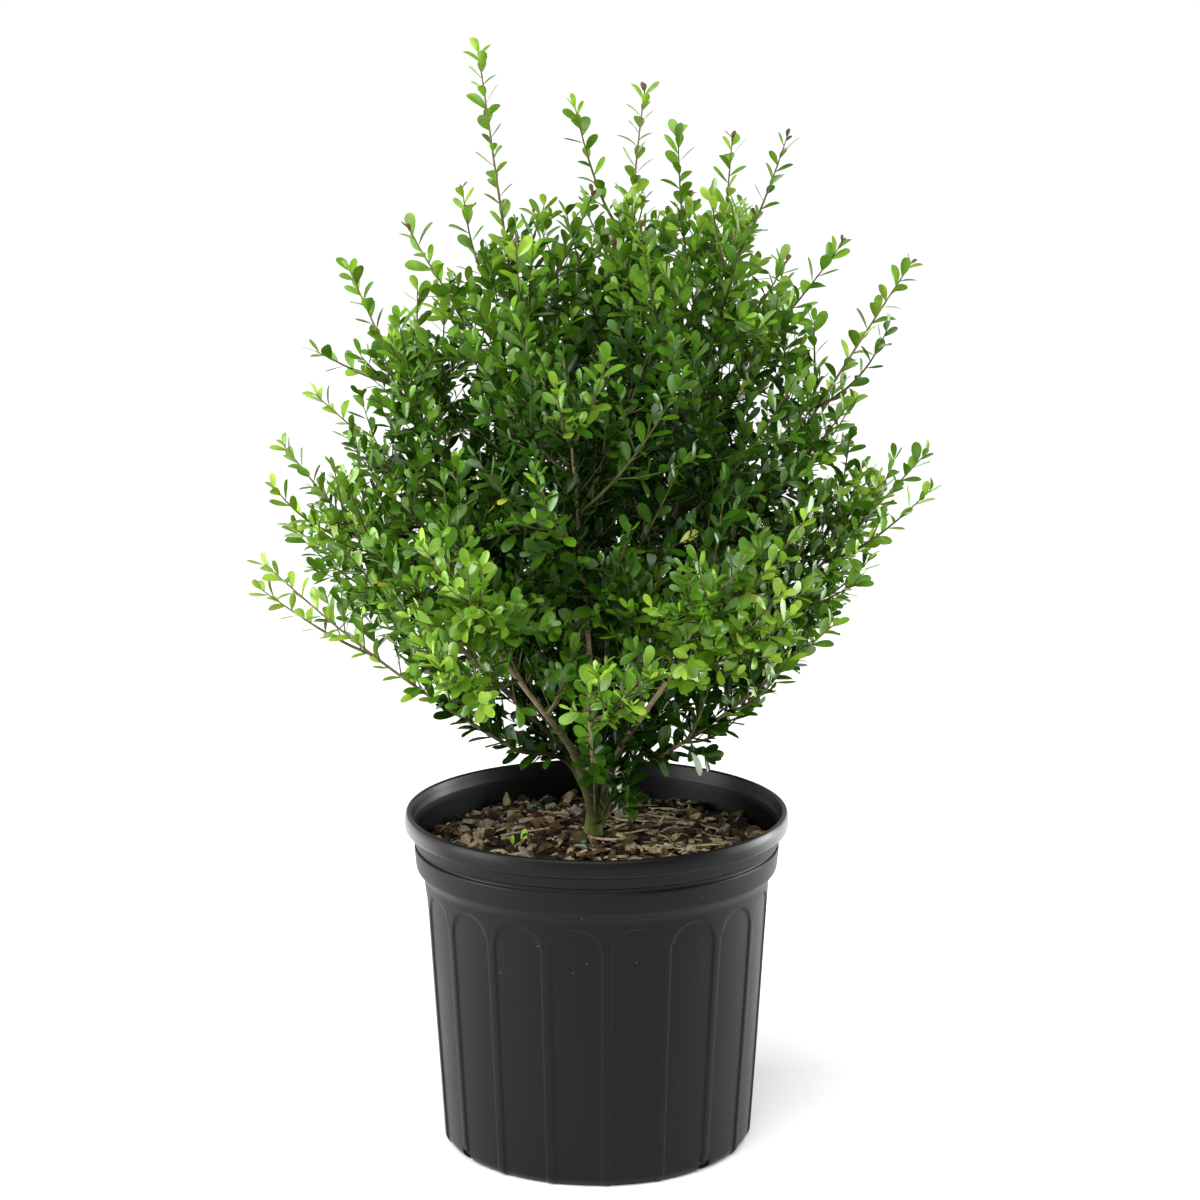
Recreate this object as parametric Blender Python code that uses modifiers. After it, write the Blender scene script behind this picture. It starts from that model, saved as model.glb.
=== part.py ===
"""A potted japanese holly: a nursery pot on its flat underside, the potting mix in it,
a short trunk that forks just above the mix, its boughs, and one mass of foliage on each.

Metres, +Z up. The origin is the centre of the pot's flat underside and the front is -Y.
Azimuths are in degrees anticlockwise from +X, and tilts in degrees from the vertical.
"""

from collections import namedtuple

import bmesh
import bpy
import numpy as np
from mathutils import Matrix, Vector

GAP = 0.0003  # between pieces that meet
MERGE = 0.0001
GOLDEN_ANGLE = 137.508

# The pot: (radius, height) down the outside of the lip, the two bands and the wall.
POT_SIDES = 48
LIP_TOP, LIP_RADIUS = 0.2490, 0.1400
LIP = [(0.1352, LIP_TOP), (0.1388, LIP_TOP), (LIP_RADIUS, 0.2455), (0.1376, 0.2352)]
UPPER_BAND = [(0.1345, 0.2340), (0.1335, 0.2272)]
GROOVE = [(0.1316, 0.2262), (0.1316, 0.2240)]
LOWER_BAND = [(0.1332, 0.2230), (0.1320, 0.2080)]
WALL_TOP_RADIUS, WALL_TOP = 0.1262, 0.2010
WALL_FOOT_RADIUS, WALL_FOOT = 0.1142, 0.0045
UNDERSIDE_RADIUS = 0.1105
WALL_THICKNESS = 0.0030
FLOOR_THICKNESS = 0.0040

# Tall flat panels with round tops stand round the wall, with narrow lands between.
PANELS = 18
PANEL_TOP = 0.1945
PANEL_HALF_ANGLE = 8.4
PANEL_DEPTH = 0.0016
PANEL_ARC_POINTS = 5
FIRST_PANEL_AZIMUTH = 263.4
DRAIN_RADIUS = 0.0060
DRAIN_OFFSETS = (-50, 50, 130, 230)  # from the first panel, each on a land

MIX_EDGE, MIX_CROWN = 0.2210, 0.2272  # height of the mix at the wall and round the trunk
MIX_SLOPE_FROM = 0.040
MIX_CLEARANCE = 0.0007

# The trunk: (x, height, radius), from the flat cut at the mix through the flare to the fork.
TRUNK = [
    (-0.0030, MIX_CROWN + GAP, 0.0112),
    (-0.0030, MIX_CROWN + 0.0030, 0.0094),
    (-0.0026, MIX_CROWN + 0.0090, 0.0080),
    (-0.0014, 0.2480, 0.0074),
    (0.0008, 0.2610, 0.0078),
    (0.0026, 0.2740, 0.0072),
    (0.0030, 0.2850, 0.0048),
]

# Tiers of limbs, by how far they spread. Each limb is a stub on the trunk, a bough and
# the stem of its mass in turn. tilts: at the fork, where the bough ends and at the tip.
Tier = namedtuple("Tier", "fork tilts stub bough radius shoots")
TIERS = {
    "low": Tier(0.2580, (60, 60, 48), 0.026, 0.30, 0.0025, 6),
    "outer": Tier(0.2610, (38, 47, 43), 0.028, 0.34, 0.0036, 7),
    "upper": Tier(0.2690, (24, 28, 29), 0.034, 0.34, 0.0033, 7),
    "top": Tier(0.2760, (13, 8, 7), 0.040, 0.36, 0.0030, 8),
}
# name: tier, azimuth, length from fork to tip, how far it leans against its tier
LIMBS = {
    "low_left": ("low", 196, 0.260, 0.96),
    "low_front": ("low", 268, 0.196, 1.02),
    "low_right": ("low", 338, 0.184, 0.93),
    "low_back": ("low", 93, 0.204, 1.00),
    "left": ("outer", 174, 0.288, 1.00),
    "front_left": ("outer", 236, 0.262, 1.00),
    "front_right": ("outer", 299, 0.258, 1.00),
    "right": ("outer", 3, 0.292, 1.00),
    "back_right": ("outer", 60, 0.264, 1.00),
    "back_left": ("outer", 122, 0.264, 1.00),
    "upper_left": ("upper", 170, 0.362, 1.00),
    "upper_front": ("upper", 262, 0.335, 0.96),
    "upper_right": ("upper", 8, 0.388, 1.10),
    "upper_back": ("upper", 92, 0.345, 0.98),
    "top_left": ("top", 200, 0.486, 1.15),
    "top_back": ("top", 70, 0.435, 0.75),
    "top_right": ("top", 330, 0.425, 1.75),
}
# How far shoots and leaves may reach from FORK, by tilt from the vertical, towards the
# right, the back, the left and the front. The stems' own tips rise above this.
CROWN_TILTS = (0, 9, 16, 24, 31, 38, 45, 52, 58, 64, 70)
CROWN_REACH = [
    (0.485, 0.475, 0.485, 0.445, 0.430, 0.360, 0.340, 0.265, 0.200, 0.110, 0.050),
    (0.485, 0.460, 0.450, 0.425, 0.395, 0.360, 0.330, 0.300, 0.270, 0.220, 0.100),
    (0.485, 0.460, 0.440, 0.425, 0.390, 0.355, 0.335, 0.310, 0.285, 0.100, 0.050),
    (0.485, 0.460, 0.440, 0.415, 0.385, 0.350, 0.325, 0.295, 0.270, 0.240, 0.200),
]
STUB_POINTS, BOUGH_POINTS, STEM_POINTS = 2, 4, 6  # along each stretch of a limb
JOIN_HALF = 0.004  # a limb is straight this far on each side of a join
TIP_SHARE = 0.36  # radius at a limb's tip, as a share of its base

# Foliage. A leaf here is larger than life, and there are fewer of them.
LEAF_LENGTH, LEAF_WIDTH, LEAF_THICKNESS = 0.050, 0.034, 0.0014
LEAF_WIDEST, LEAF_PEAK = 0.60, 0.45  # shares of the length
LEAF_ANGLE = 50
LEAF_SPACING = 0.0204
LEAF_CLEARANCE = 0.0022
TWIG_RADIUS, TWIG_TIP_RADIUS = 0.0019, 0.0012
SHOOT_ANGLE, SHOOT_LIFT = 42, 0.55
SHOOT_SHARE = 0.62  # the lowest shoot's length, as a share of its stem
SHOOT_SECTIONS = 2
SHOOTS_FROM, SHOOTS_TO = 0.04, 0.84  # shares of the stem that bear shoots
SHOOT_TRIMS = (1.0, 0.84, 0.7, 0.58, 0.46, 0.36)  # shares of its length that a shoot is tried at
BARE_STEM, BARE_SHOOT = 0.62, 0.22  # the share of each below its lowest leaf
SHORT_OF_REACH = 0.040  # what a shoot leaves of the crown's reach for its tip's leaf
SPIRE = 0.110  # how far a stem's own tip may rise past the crown's reach
LEAF_ATTEMPTS = 9
SPACE_MARGIN = 0.0016
LIMB_CLEARANCE = 0.0040
LOWEST_LEAF = 0.2620
UP = np.array([0.0, 0.0, 1.0])
FORK = np.array([0.0010, 0.0, 0.2640])  # the masses' spaces spread from here
LIMB_SAMPLES = 6  # to each section of a limb, for telling what comes near it
OWN_LIMB_LEFT_OUT = 8  # samples of its own bough that a mass may come near


def clear_scene():
    for leftover in list(bpy.data.objects):
        bpy.data.objects.remove(leftover, do_unlink=True)


def new_collection(name):
    collection = bpy.data.collections.new(name)
    bpy.context.scene.collection.children.link(collection)
    return collection


def plain_material(name, colour, roughness):
    material = bpy.data.materials.new(name)
    material.use_nodes = True
    shader = material.node_tree.nodes["Principled BSDF"]
    shader.inputs["Base Color"].default_value = (*colour, 1.0)
    shader.inputs["Roughness"].default_value = roughness
    shader.inputs["Metallic"].default_value = 0.0
    return material


def place(name, data, collection, material=None):
    piece = bpy.data.objects.new(name, data)
    collection.objects.link(piece)
    if material:
        data.materials.append(material)
    return piece


def hide_helper(piece):
    piece.hide_render = True
    piece.display_type = "WIRE"


def evaluated_mesh(piece):
    """The piece's mesh with its modifiers or its bevel applied, and loose caps welded."""
    graph = bpy.context.evaluated_depsgraph_get()
    mesh = bpy.data.meshes.new_from_object(piece.evaluated_get(graph))
    work = bmesh.new()
    work.from_mesh(mesh)
    bmesh.ops.remove_doubles(work, verts=work.verts, dist=1e-6)
    work.to_mesh(mesh)
    work.free()
    return mesh


def apply_boolean(piece, operation, collection, solver):
    """Joins or cuts the piece with a collection's objects, and then removes those."""
    modifier = piece.modifiers.new(operation.title(), "BOOLEAN")
    modifier.operation = operation
    modifier.operand_type = "COLLECTION"
    modifier.collection = collection
    modifier.solver = solver
    bpy.context.view_layer.update()
    mesh = evaluated_mesh(piece)
    piece.modifiers.remove(modifier)
    piece.data = mesh
    for used in list(collection.objects):
        bpy.data.objects.remove(used, do_unlink=True)
    bpy.data.collections.remove(collection)


# ---------------------------------------------------------------- pot and potting mix


def wall_radius(height):
    """Radius of the outside of the wall, which tapers evenly to its foot."""
    rise = (height - WALL_FOOT) / (WALL_TOP - WALL_FOOT)
    return WALL_FOOT_RADIUS + rise * (WALL_TOP_RADIUS - WALL_FOOT_RADIUS)


def turned(name, profile, collection, material):
    """The (radius, height) profile turned round Z. Its outer side runs top to bottom."""
    mesh = bpy.data.meshes.new(name)
    points = [(radius, 0.0, height) for radius, height in profile]
    mesh.from_pydata(points, [(i, i + 1) for i in range(len(points) - 1)], [])
    piece = place(name, mesh, collection, material)
    screw = piece.modifiers.new("Turn", "SCREW")
    screw.steps = screw.render_steps = POT_SIDES
    screw.use_merge_vertices = True
    screw.merge_threshold = MERGE
    return piece


def panel_cutter(name, azimuth, collection):
    """A tall round-topped block whose flat inner face lies just under the wall."""
    half = np.radians(PANEL_HALF_ANGLE)
    radius = wall_radius(PANEL_TOP) * np.sin(half)
    spring = PANEL_TOP - radius
    foot = -0.004
    arc = np.linspace(0.0, np.pi, PANEL_ARC_POINTS + 1)
    sides = [(wall_radius(foot) * np.sin(half), foot)]
    outline = [(-sides[0][0], foot), *sides]
    outline += [(radius * np.cos(a), spring + radius * np.sin(a)) for a in arc]
    work = bmesh.new()
    corners = [work.verts.new((across, height, 0.0)) for across, height in outline]
    face = work.faces.new(corners)
    raised = bmesh.ops.extrude_face_region(work, geom=[face])["geom"]
    lifted = [item for item in raised if isinstance(item, bmesh.types.BMVert)]
    bmesh.ops.translate(work, verts=lifted, vec=(0.0, 0.0, 0.012))
    bmesh.ops.recalc_face_normals(work, faces=work.faces)
    mesh = bpy.data.meshes.new(name)
    work.to_mesh(mesh)
    work.free()
    cutter = place(name, mesh, collection)
    # The block's own x runs across the panel, its y up the wall and its z outwards.
    slope = np.arctan2(WALL_TOP_RADIUS - WALL_FOOT_RADIUS, WALL_TOP - WALL_FOOT)
    turn = Matrix.Rotation(np.radians(azimuth + 90), 4, "Z")
    upright = Matrix.Rotation(np.radians(90) + slope, 4, "X")
    inset = Matrix.Translation((0.0, -(wall_radius(0.0) - PANEL_DEPTH), 0.0))
    cutter.matrix_world = turn @ inset @ upright
    return cutter


def drain_cutter(name, azimuth, collection):
    """A short rod through the pot's bottom corner, halfway between level and down."""
    work = bmesh.new()
    bmesh.ops.create_cone(
        work, cap_ends=True, segments=10, depth=0.024,
        radius1=DRAIN_RADIUS, radius2=DRAIN_RADIUS,
    )
    mesh = bpy.data.meshes.new(name)
    work.to_mesh(mesh)
    work.free()
    cutter = place(name, mesh, collection)
    turn = Matrix.Rotation(np.radians(azimuth), 4, "Z")
    corner = Matrix.Translation((WALL_FOOT_RADIUS, 0.0, 0.0015))
    cutter.matrix_world = turn @ corner @ Matrix.Rotation(np.radians(128), 4, "Y")
    return cutter


def make_pot(collection, material):
    inner_top = WALL_TOP_RADIUS - WALL_THICKNESS
    inner_foot = WALL_FOOT_RADIUS - WALL_THICKNESS
    inside = [
        (0.0, FLOOR_THICKNESS),
        (inner_foot, FLOOR_THICKNESS),
        (inner_top, WALL_TOP),
        (0.1290, 0.2080),
        (0.1322, 0.2400),
    ]
    outside = [*LIP, *UPPER_BAND, *GROOVE, *LOWER_BAND, (WALL_TOP_RADIUS, WALL_TOP)]
    foot = [(WALL_FOOT_RADIUS, WALL_FOOT), (UNDERSIDE_RADIUS, 0.0), (0.0, 0.0)]
    pot = turned("pot", inside + outside + foot, collection, material)
    cutters = new_collection("pot cutters")
    for k in range(PANELS):
        azimuth = FIRST_PANEL_AZIMUTH + 360 * k / PANELS
        panel_cutter(f"panel cutter {k}", azimuth, cutters)
    for offset in DRAIN_OFFSETS:
        drain_cutter(f"drain cutter {offset}", FIRST_PANEL_AZIMUTH + offset, cutters)
    pot.modifiers.new("Panels and drains", "BOOLEAN")
    cut = pot.modifiers[-1]
    cut.operation = "DIFFERENCE"
    cut.operand_type = "COLLECTION"
    cut.collection = cutters
    for cutter in cutters.objects:
        hide_helper(cutter)
    return pot


def make_potting_mix(collection, material):
    """Fills the pot, with a low mound round the trunk."""
    foot = WALL_FOOT_RADIUS - WALL_THICKNESS - MIX_CLEARANCE
    shoulder = WALL_TOP_RADIUS - WALL_THICKNESS - MIX_CLEARANCE
    profile = [
        (0.0, MIX_CROWN),
        (MIX_SLOPE_FROM, MIX_CROWN),
        (0.1290, MIX_EDGE),
        (shoulder, WALL_TOP),
        (foot, FLOOR_THICKNESS + GAP),
        (0.0, FLOOR_THICKNESS + GAP),
    ]
    return turned("potting_mix", profile, collection, material)


# ---------------------------------------------------------------- limbs


def heading(azimuth, tilt):
    a, t = np.radians(azimuth), np.radians(tilt)
    return np.stack([np.sin(t) * np.cos(a), np.sin(t) * np.sin(a), np.cos(t)], axis=-1)


def unit(vectors):
    return vectors / np.linalg.norm(vectors, axis=-1, keepdims=True)


def trunk_axis(height):
    """The point of the trunk's centre line at a height."""
    xs, zs, _ = np.array(TRUNK).T
    return np.array([np.interp(height, zs, xs), 0.0, height])


def limb_line(name):
    """(points, radii, stub, bough) of a limb's centre line. stub and bough number the
    straight sections in whose middles the stub and the bough end."""
    tier_name, azimuth, length, lean = LIMBS[name]
    tier = TIERS[tier_name]
    bough_end = tier.bough * length
    knots = np.concatenate([
        np.linspace(0.0, tier.stub - JOIN_HALF, STUB_POINTS),
        np.linspace(tier.stub + JOIN_HALF, bough_end - JOIN_HALF, BOUGH_POINTS),
        np.linspace(bough_end + JOIN_HALF, length, STEM_POINTS),
    ])
    fine = np.linspace(0.0, length, 241)
    middles = (fine[1:] + fine[:-1]) / 2
    tilts = lean * np.interp(middles, [0.0, bough_end, length], tier.tilts)
    steps = heading(azimuth, tilts) * (fine[1] - fine[0])
    path = trunk_axis(tier.fork) + np.vstack([np.zeros(3), np.cumsum(steps, axis=0)])
    points = np.stack([np.interp(knots, fine, axis) for axis in path.T], axis=1)
    radii = tier.radius * (1 - (1 - TIP_SHARE) * (knots / length) ** 0.8)
    return points, radii, STUB_POINTS - 1, STUB_POINTS + BOUGH_POINTS - 1


def stretch(points, radii, first, last):
    """The part of a line between the middles of two of its sections, with half of GAP
    left out at each cut. None stands for the line's own end."""

    def cut(section, side):
        across = points[section + 1] - points[section]
        middle = (points[section] + points[section + 1]) / 2
        radius = (radii[section] + radii[section + 1]) / 2
        return middle + side * unit(across) * GAP / 2, radius

    start = 0 if first is None else first + 1
    end = len(points) if last is None else last + 1
    line, sizes = list(points[start:end]), list(radii[start:end])
    if first is not None:
        point, radius = cut(first, 1)
        line.insert(0, point)
        sizes.insert(0, radius)
    if last is not None:
        point, radius = cut(last, -1)
        line.append(point)
        sizes.append(radius)
    return np.array(line), np.array(sizes)


def tube(name, points, radii, collection, material=None, profile=None):
    """A tapering round tube along the points, or one with the profile's section."""
    curve = bpy.data.curves.new(name, "CURVE")
    curve.dimensions = "3D"
    curve.use_fill_caps = True
    if profile:
        curve.bevel_mode = "OBJECT"
        curve.bevel_object = profile
    else:
        curve.bevel_depth = 1.0
        curve.bevel_resolution = 1
    spline = curve.splines.new("POLY")
    spline.points.add(len(points) - 1)
    for node, point, radius in zip(spline.points, points, radii):
        node.co = (*point, 1.0)
        node.radius = radius
    return place(name, curve, collection, material)


def meshes_from(curves, collection):
    """Puts a closed mesh in the place of each curve object."""
    bpy.context.view_layer.update()
    made = []
    for piece in curves:
        made.append(place(piece.name + " mesh", evaluated_mesh(piece), collection))
        bpy.data.objects.remove(piece, do_unlink=True)
    return made


def make_trunk(lines, collection, material):
    """The trunk, with the stub of every limb fused on."""
    parts = new_collection("trunk parts")
    xs, zs, sizes = np.array(TRUNK).T
    stem = tube("stem", np.stack([xs, np.zeros_like(xs), zs], axis=1), sizes, parts)
    stubs = [stem]
    for name, (points, radii, stub, _) in lines.items():
        points, radii = stretch(points, radii, None, stub)
        stubs.append(tube(name + " stub", points, radii, parts))
    trunk = meshes_from(stubs, parts)[0]
    parts.objects.unlink(trunk)
    collection.objects.link(trunk)
    trunk.name = trunk.data.name = "trunk"
    apply_boolean(trunk, "UNION", parts, "EXACT")
    trunk.data.materials.append(material)
    return trunk


# ---------------------------------------------------------------- foliage


def bent_line(start, direction, length, lift, sections):
    """A shoot that leaves along the direction and bends towards the vertical."""
    share = np.linspace(0.0, 1.0, sections)[:, None]
    steps = unit(direction + lift * share * UP) * length / sections
    return start + np.vstack([np.zeros(3), np.cumsum(steps, axis=0)])


def point_at(line, share):
    """(point, tangent) at a share of a line's length."""
    lengths = np.linalg.norm(np.diff(line, axis=0), axis=1)
    ends = np.concatenate([[0.0], np.cumsum(lengths)])
    place_along = share * ends[-1]
    section = min(int(np.searchsorted(ends, place_along, side="right")) - 1, len(lengths) - 1)
    tangent = (line[section + 1] - line[section]) / lengths[section]
    return line[section] + tangent * (place_along - ends[section]), tangent


def off_axis(tangent, turn, angle):
    """The direction at an angle from the tangent, turned round it by another."""
    side = unit(np.cross(tangent, [0.31, -0.95, 0.05]))
    other = np.cross(tangent, side)
    round_it = np.cos(np.radians(turn)) * side + np.sin(np.radians(turn)) * other
    return np.cos(np.radians(angle)) * tangent + np.sin(np.radians(angle)) * round_it


def leaf_frame(root, direction, tangent):
    """Matrix of a leaf: x along it, z out of the face that looks to the shoot's tip."""
    face = tangent - direction * (tangent @ direction)
    if np.linalg.norm(face) < 0.05:
        face = np.cross(direction, [0.9, 0.4, 0.1])
    face = unit(face)
    across = np.cross(face, direction)
    frame = np.eye(4)
    frame[:3] = np.stack([direction, across, face, root], axis=1)
    return frame


def leaf_samples(frame):
    """Points spread over a leaf, for telling what it would touch."""
    along = np.linspace(0.12, 1.0, 8)
    half = np.interp(along, [0.0, LEAF_WIDEST, 1.0], [0.0, LEAF_WIDTH / 2, 0.0])
    across = np.linspace(-1.0, 1.0, 5)
    x = np.repeat(along * LEAF_LENGTH, len(across))
    y = np.outer(half, across).ravel()
    local = np.stack([x, y, np.zeros_like(x), np.ones_like(x)], axis=1)
    return (local @ frame.T)[:, :3]


def leaf_mesh(name):
    """A thin leaf with a flat underside and one low peak on its upper side."""
    half = LEAF_WIDTH / 2
    widest = LEAF_WIDEST * LEAF_LENGTH
    corners = [
        (0.0, 0.0, 0.0),
        (widest, -half, 0.0),
        (LEAF_LENGTH, 0.0, 0.0),
        (widest, half, 0.0),
        (LEAF_PEAK * LEAF_LENGTH, 0.0, LEAF_THICKNESS),
    ]
    faces = [(0, 3, 2), (0, 2, 1), (0, 1, 4), (1, 2, 4), (2, 3, 4), (3, 0, 4)]
    mesh = bpy.data.meshes.new(name)
    mesh.from_pydata(corners, [], faces)
    return mesh


def reach(points):
    """How far the crown reaches from FORK in the directions of the points."""
    x, y, z = (points - FORK).T
    tilt = np.degrees(np.arctan2(np.hypot(x, y), z))
    quarter = np.degrees(np.arctan2(y, x)) / 90 % 4
    sides = np.array([np.interp(tilt, CROWN_TILTS, side) for side in CROWN_REACH])
    first = quarter.astype(int) % 4
    share = quarter - quarter.astype(int)
    each = np.arange(len(points))
    return sides[first, each] * (1 - share) + sides[(first + 1) % 4, each] * share


class Space:
    """The room one mass has: the cone of all that lies nearer its own direction from
    the fork than any other mass's, within the crown's reach and clear of the limbs."""

    def __init__(self, own, others, limb_points, limb_radii):
        self.normals = unit(others - own)
        self.limb_points = limb_points
        self.limb_radii = limb_radii
        self.leaves = []

    def holds(self, points, radius=0.0, short_of=0.0):
        inside = (points - FORK) @ self.normals.T + radius <= -SPACE_MARGIN
        far = np.linalg.norm(points - FORK, axis=1) > reach(points) - short_of
        gaps = np.linalg.norm(points[:, None] - self.limb_points, axis=2) - self.limb_radii
        above = points[:, 2].min() - radius > LOWEST_LEAF
        clear = gaps.min() > radius + LIMB_CLEARANCE
        return bool(inside.all() and not far.any() and above and clear)

    def takes_leaf(self, frame, short_of):
        samples = leaf_samples(frame)
        if not self.holds(samples, LEAF_THICKNESS / 2, short_of):
            return False
        for other in self.leaves:
            if np.linalg.norm(samples[:, None] - other, axis=2).min() < LEAF_CLEARANCE:
                return False
        self.leaves.append(samples)
        return True


def grow_shoots(stem, count, space, draw):
    """Side shoots up the stem at the golden angle, the lower ones longer. One that
    would leave the mass's space is tried shorter, and then skipped."""
    stem_length = np.linalg.norm(np.diff(stem, axis=0), axis=1).sum()
    first_turn = draw.uniform(0.0, 360.0)
    shoots = []
    for k in range(count):
        share = SHOOTS_FROM + (SHOOTS_TO - SHOOTS_FROM) * k / (count - 1)
        start, tangent = point_at(stem, share)
        angle = SHOOT_ANGLE + draw.uniform(-6.0, 8.0)
        direction = off_axis(tangent, first_turn + k * GOLDEN_ANGLE, angle)
        length = stem_length * SHOOT_SHARE * (1 - 0.55 * share) * draw.uniform(0.9, 1.1)
        for trim in SHOOT_TRIMS:
            line = bent_line(start, direction, length * trim, SHOOT_LIFT, SHOOT_SECTIONS)
            inner = [point_at(line, s)[0] for s in np.linspace(0.25, 1.0, 8)]
            if space.holds(np.array(inner), TWIG_RADIUS, SHORT_OF_REACH):
                shoots.append(line)
                break
    return shoots


def grow_leaves(line, from_share, space, draw, short_of=0.0):
    """Frames of the leaves up a shoot, one at its tip and the rest alternate."""
    length = np.linalg.norm(np.diff(line, axis=0), axis=1).sum()
    count = max(1, int(length * (1 - from_share) / LEAF_SPACING))
    turn = draw.uniform(0.0, 360.0)
    frames = []
    for k in range(count + 1):
        share = 1.0 - (1 - from_share) * k / (count + 0.5)
        angle = LEAF_ANGLE if k else 12
        root, tangent = point_at(line, min(share, 0.985))
        for attempt in range(LEAF_ATTEMPTS):
            direction = off_axis(tangent, turn + (k + attempt) * GOLDEN_ANGLE, angle)
            frame = leaf_frame(root, direction, tangent)
            if space.takes_leaf(frame, short_of):
                frames.append(frame)
                break
            angle = LEAF_ANGLE
    return frames


def drop_scraps(mesh):
    """Keeps only the largest closed surface, which fills any hollow sealed inside."""
    work = bmesh.new()
    work.from_mesh(mesh)
    unseen = set(work.faces)
    surfaces = []
    while unseen:
        surface = [unseen.pop()]
        for face in surface:
            beside = {near for edge in face.edges for near in edge.link_faces}
            fresh = beside & unseen
            unseen -= fresh
            surface.extend(fresh)
        surfaces.append(surface)
    largest = max(surfaces, key=len)
    dropped = [face for surface in surfaces if surface is not largest for face in surface]
    bmesh.ops.delete(work, geom=dropped, context="FACES")
    work.to_mesh(mesh)
    work.free()
    return len(surfaces) - 1


def make_mass(name, line, radii, shoots, space, seed, leaf, profile, collection, material):
    """The stem, its shoots and their leaves, joined into one closed solid."""
    draw = np.random.default_rng(seed)
    parts = new_collection(name + " parts")
    thick = np.maximum(radii * 1.15, TWIG_TIP_RADIUS)
    curves = [tube(name + " stem", line, thick, parts, profile=profile)]
    frames = grow_leaves(line, BARE_STEM, space, draw, -SPIRE)
    for k, shoot in enumerate(grow_shoots(line, shoots, space, draw)):
        sizes = np.linspace(TWIG_RADIUS, TWIG_TIP_RADIUS, len(shoot))
        curves.append(tube(f"{name} shoot {k}", shoot, sizes, parts, profile=profile))
        frames += grow_leaves(shoot, BARE_SHOOT, space, draw)
    mass = meshes_from(curves, parts)[0]
    parts.objects.unlink(mass)
    collection.objects.link(mass)
    mass.name = mass.data.name = name
    for k, frame in enumerate(frames):
        piece = place(f"{name} leaf {k}", leaf.copy(), parts)
        piece.matrix_world = Matrix(frame.tolist())
    apply_boolean(mass, "UNION", parts, "MANIFOLD")
    scraps = drop_scraps(mass.data)
    mass.data.materials.append(material)
    faces = sum(len(face.vertices) - 2 for face in mass.data.polygons)
    print(f"{name}: {len(frames)} leaves, {faces} triangles, {scraps} scraps dropped")
    return len(frames)


def limb_samples(lines, own):
    """(points, radii) spread over every stub and bough. The end of a mass's own bough
    is left out, because its stem starts there."""
    points, radii = [], []
    for name, (line, sizes, _, bough) in lines.items():
        knots = np.arange(len(line))
        fine = np.linspace(0, bough + 1, (bough + 1) * LIMB_SAMPLES + 1)
        if name == own:
            fine = fine[:-OWN_LIMB_LEFT_OUT]
        points.append(np.stack([np.interp(fine, knots, axis) for axis in line.T], axis=1))
        radii.append(np.interp(fine, knots, sizes))
    return np.concatenate(points), np.concatenate(radii)


def three_sided_profile(collection):
    """The section of a twig. Its corners run clockwise, which turns its faces outwards."""
    curve = bpy.data.curves.new("three sides", "CURVE")
    ring = curve.splines.new("POLY")
    ring.points.add(2)
    for corner, azimuth in zip(ring.points, (330, 210, 90)):
        a = np.radians(azimuth)
        corner.co = (np.cos(a), np.sin(a), 0.0, 1.0)
    ring.use_cyclic_u = True
    profile = place("three sides", curve, collection)
    hide_helper(profile)
    return profile


def make_foliage(lines, profile, collection, material):
    """One mass of foliage at the end of each bough."""
    directions = {name: unit(line[0][-4] - FORK) for name, line in lines.items()}
    leaf = leaf_mesh("leaf")
    total = 0
    for seed, (name, (points, radii, _, bough)) in enumerate(lines.items()):
        others = np.array([directions[other] for other in lines if other != name])
        space = Space(directions[name], others, *limb_samples(lines, name))
        line, sizes = stretch(points, radii, bough, None)
        shoots = TIERS[LIMBS[name][0]].shoots
        total += make_mass(
            "foliage_" + name, line, sizes, shoots, space, seed, leaf, profile,
            collection, material,
        )
    print(f"{total} leaves in all")


def main():
    clear_scene()
    plant = new_collection("potted japanese holly")
    helpers = new_collection("helpers")
    plastic = plain_material("black plastic", (0.021, 0.022, 0.024), 0.45)
    bark_mix = plain_material("bark mix", (0.060, 0.032, 0.017), 0.95)
    bark = plain_material("bark", (0.165, 0.118, 0.066), 0.85)
    leaves = plain_material("leaves", (0.070, 0.210, 0.028), 0.38)

    make_pot(plant, plastic)
    make_potting_mix(plant, bark_mix)
    lines = {name: limb_line(name) for name in LIMBS}
    make_trunk(lines, plant, bark)
    for name, (points, radii, stub, bough) in lines.items():
        line, sizes = stretch(points, radii, stub, bough)
        tube("bough_" + name, line, sizes, plant, bark)
    make_foliage(lines, three_sided_profile(helpers), plant, leaves)


main()
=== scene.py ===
# %% [markdown]
# # A potted Japanese holly
#
# The real thing is a small-leaved evergreen shrub, about 0.8 m tall with its pot. A short trunk
# forks just above the bark mix of a black nursery pot. Its limbs carry hundreds of short shoots,
# and thousands of glossy leaves not much longer than a fingernail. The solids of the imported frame
# hold its limbs and its masses of foliage. This script dresses each of them with what the eye
# sees.

from collections import namedtuple

import bpy
import numpy as np
from mathutils import Matrix


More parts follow.
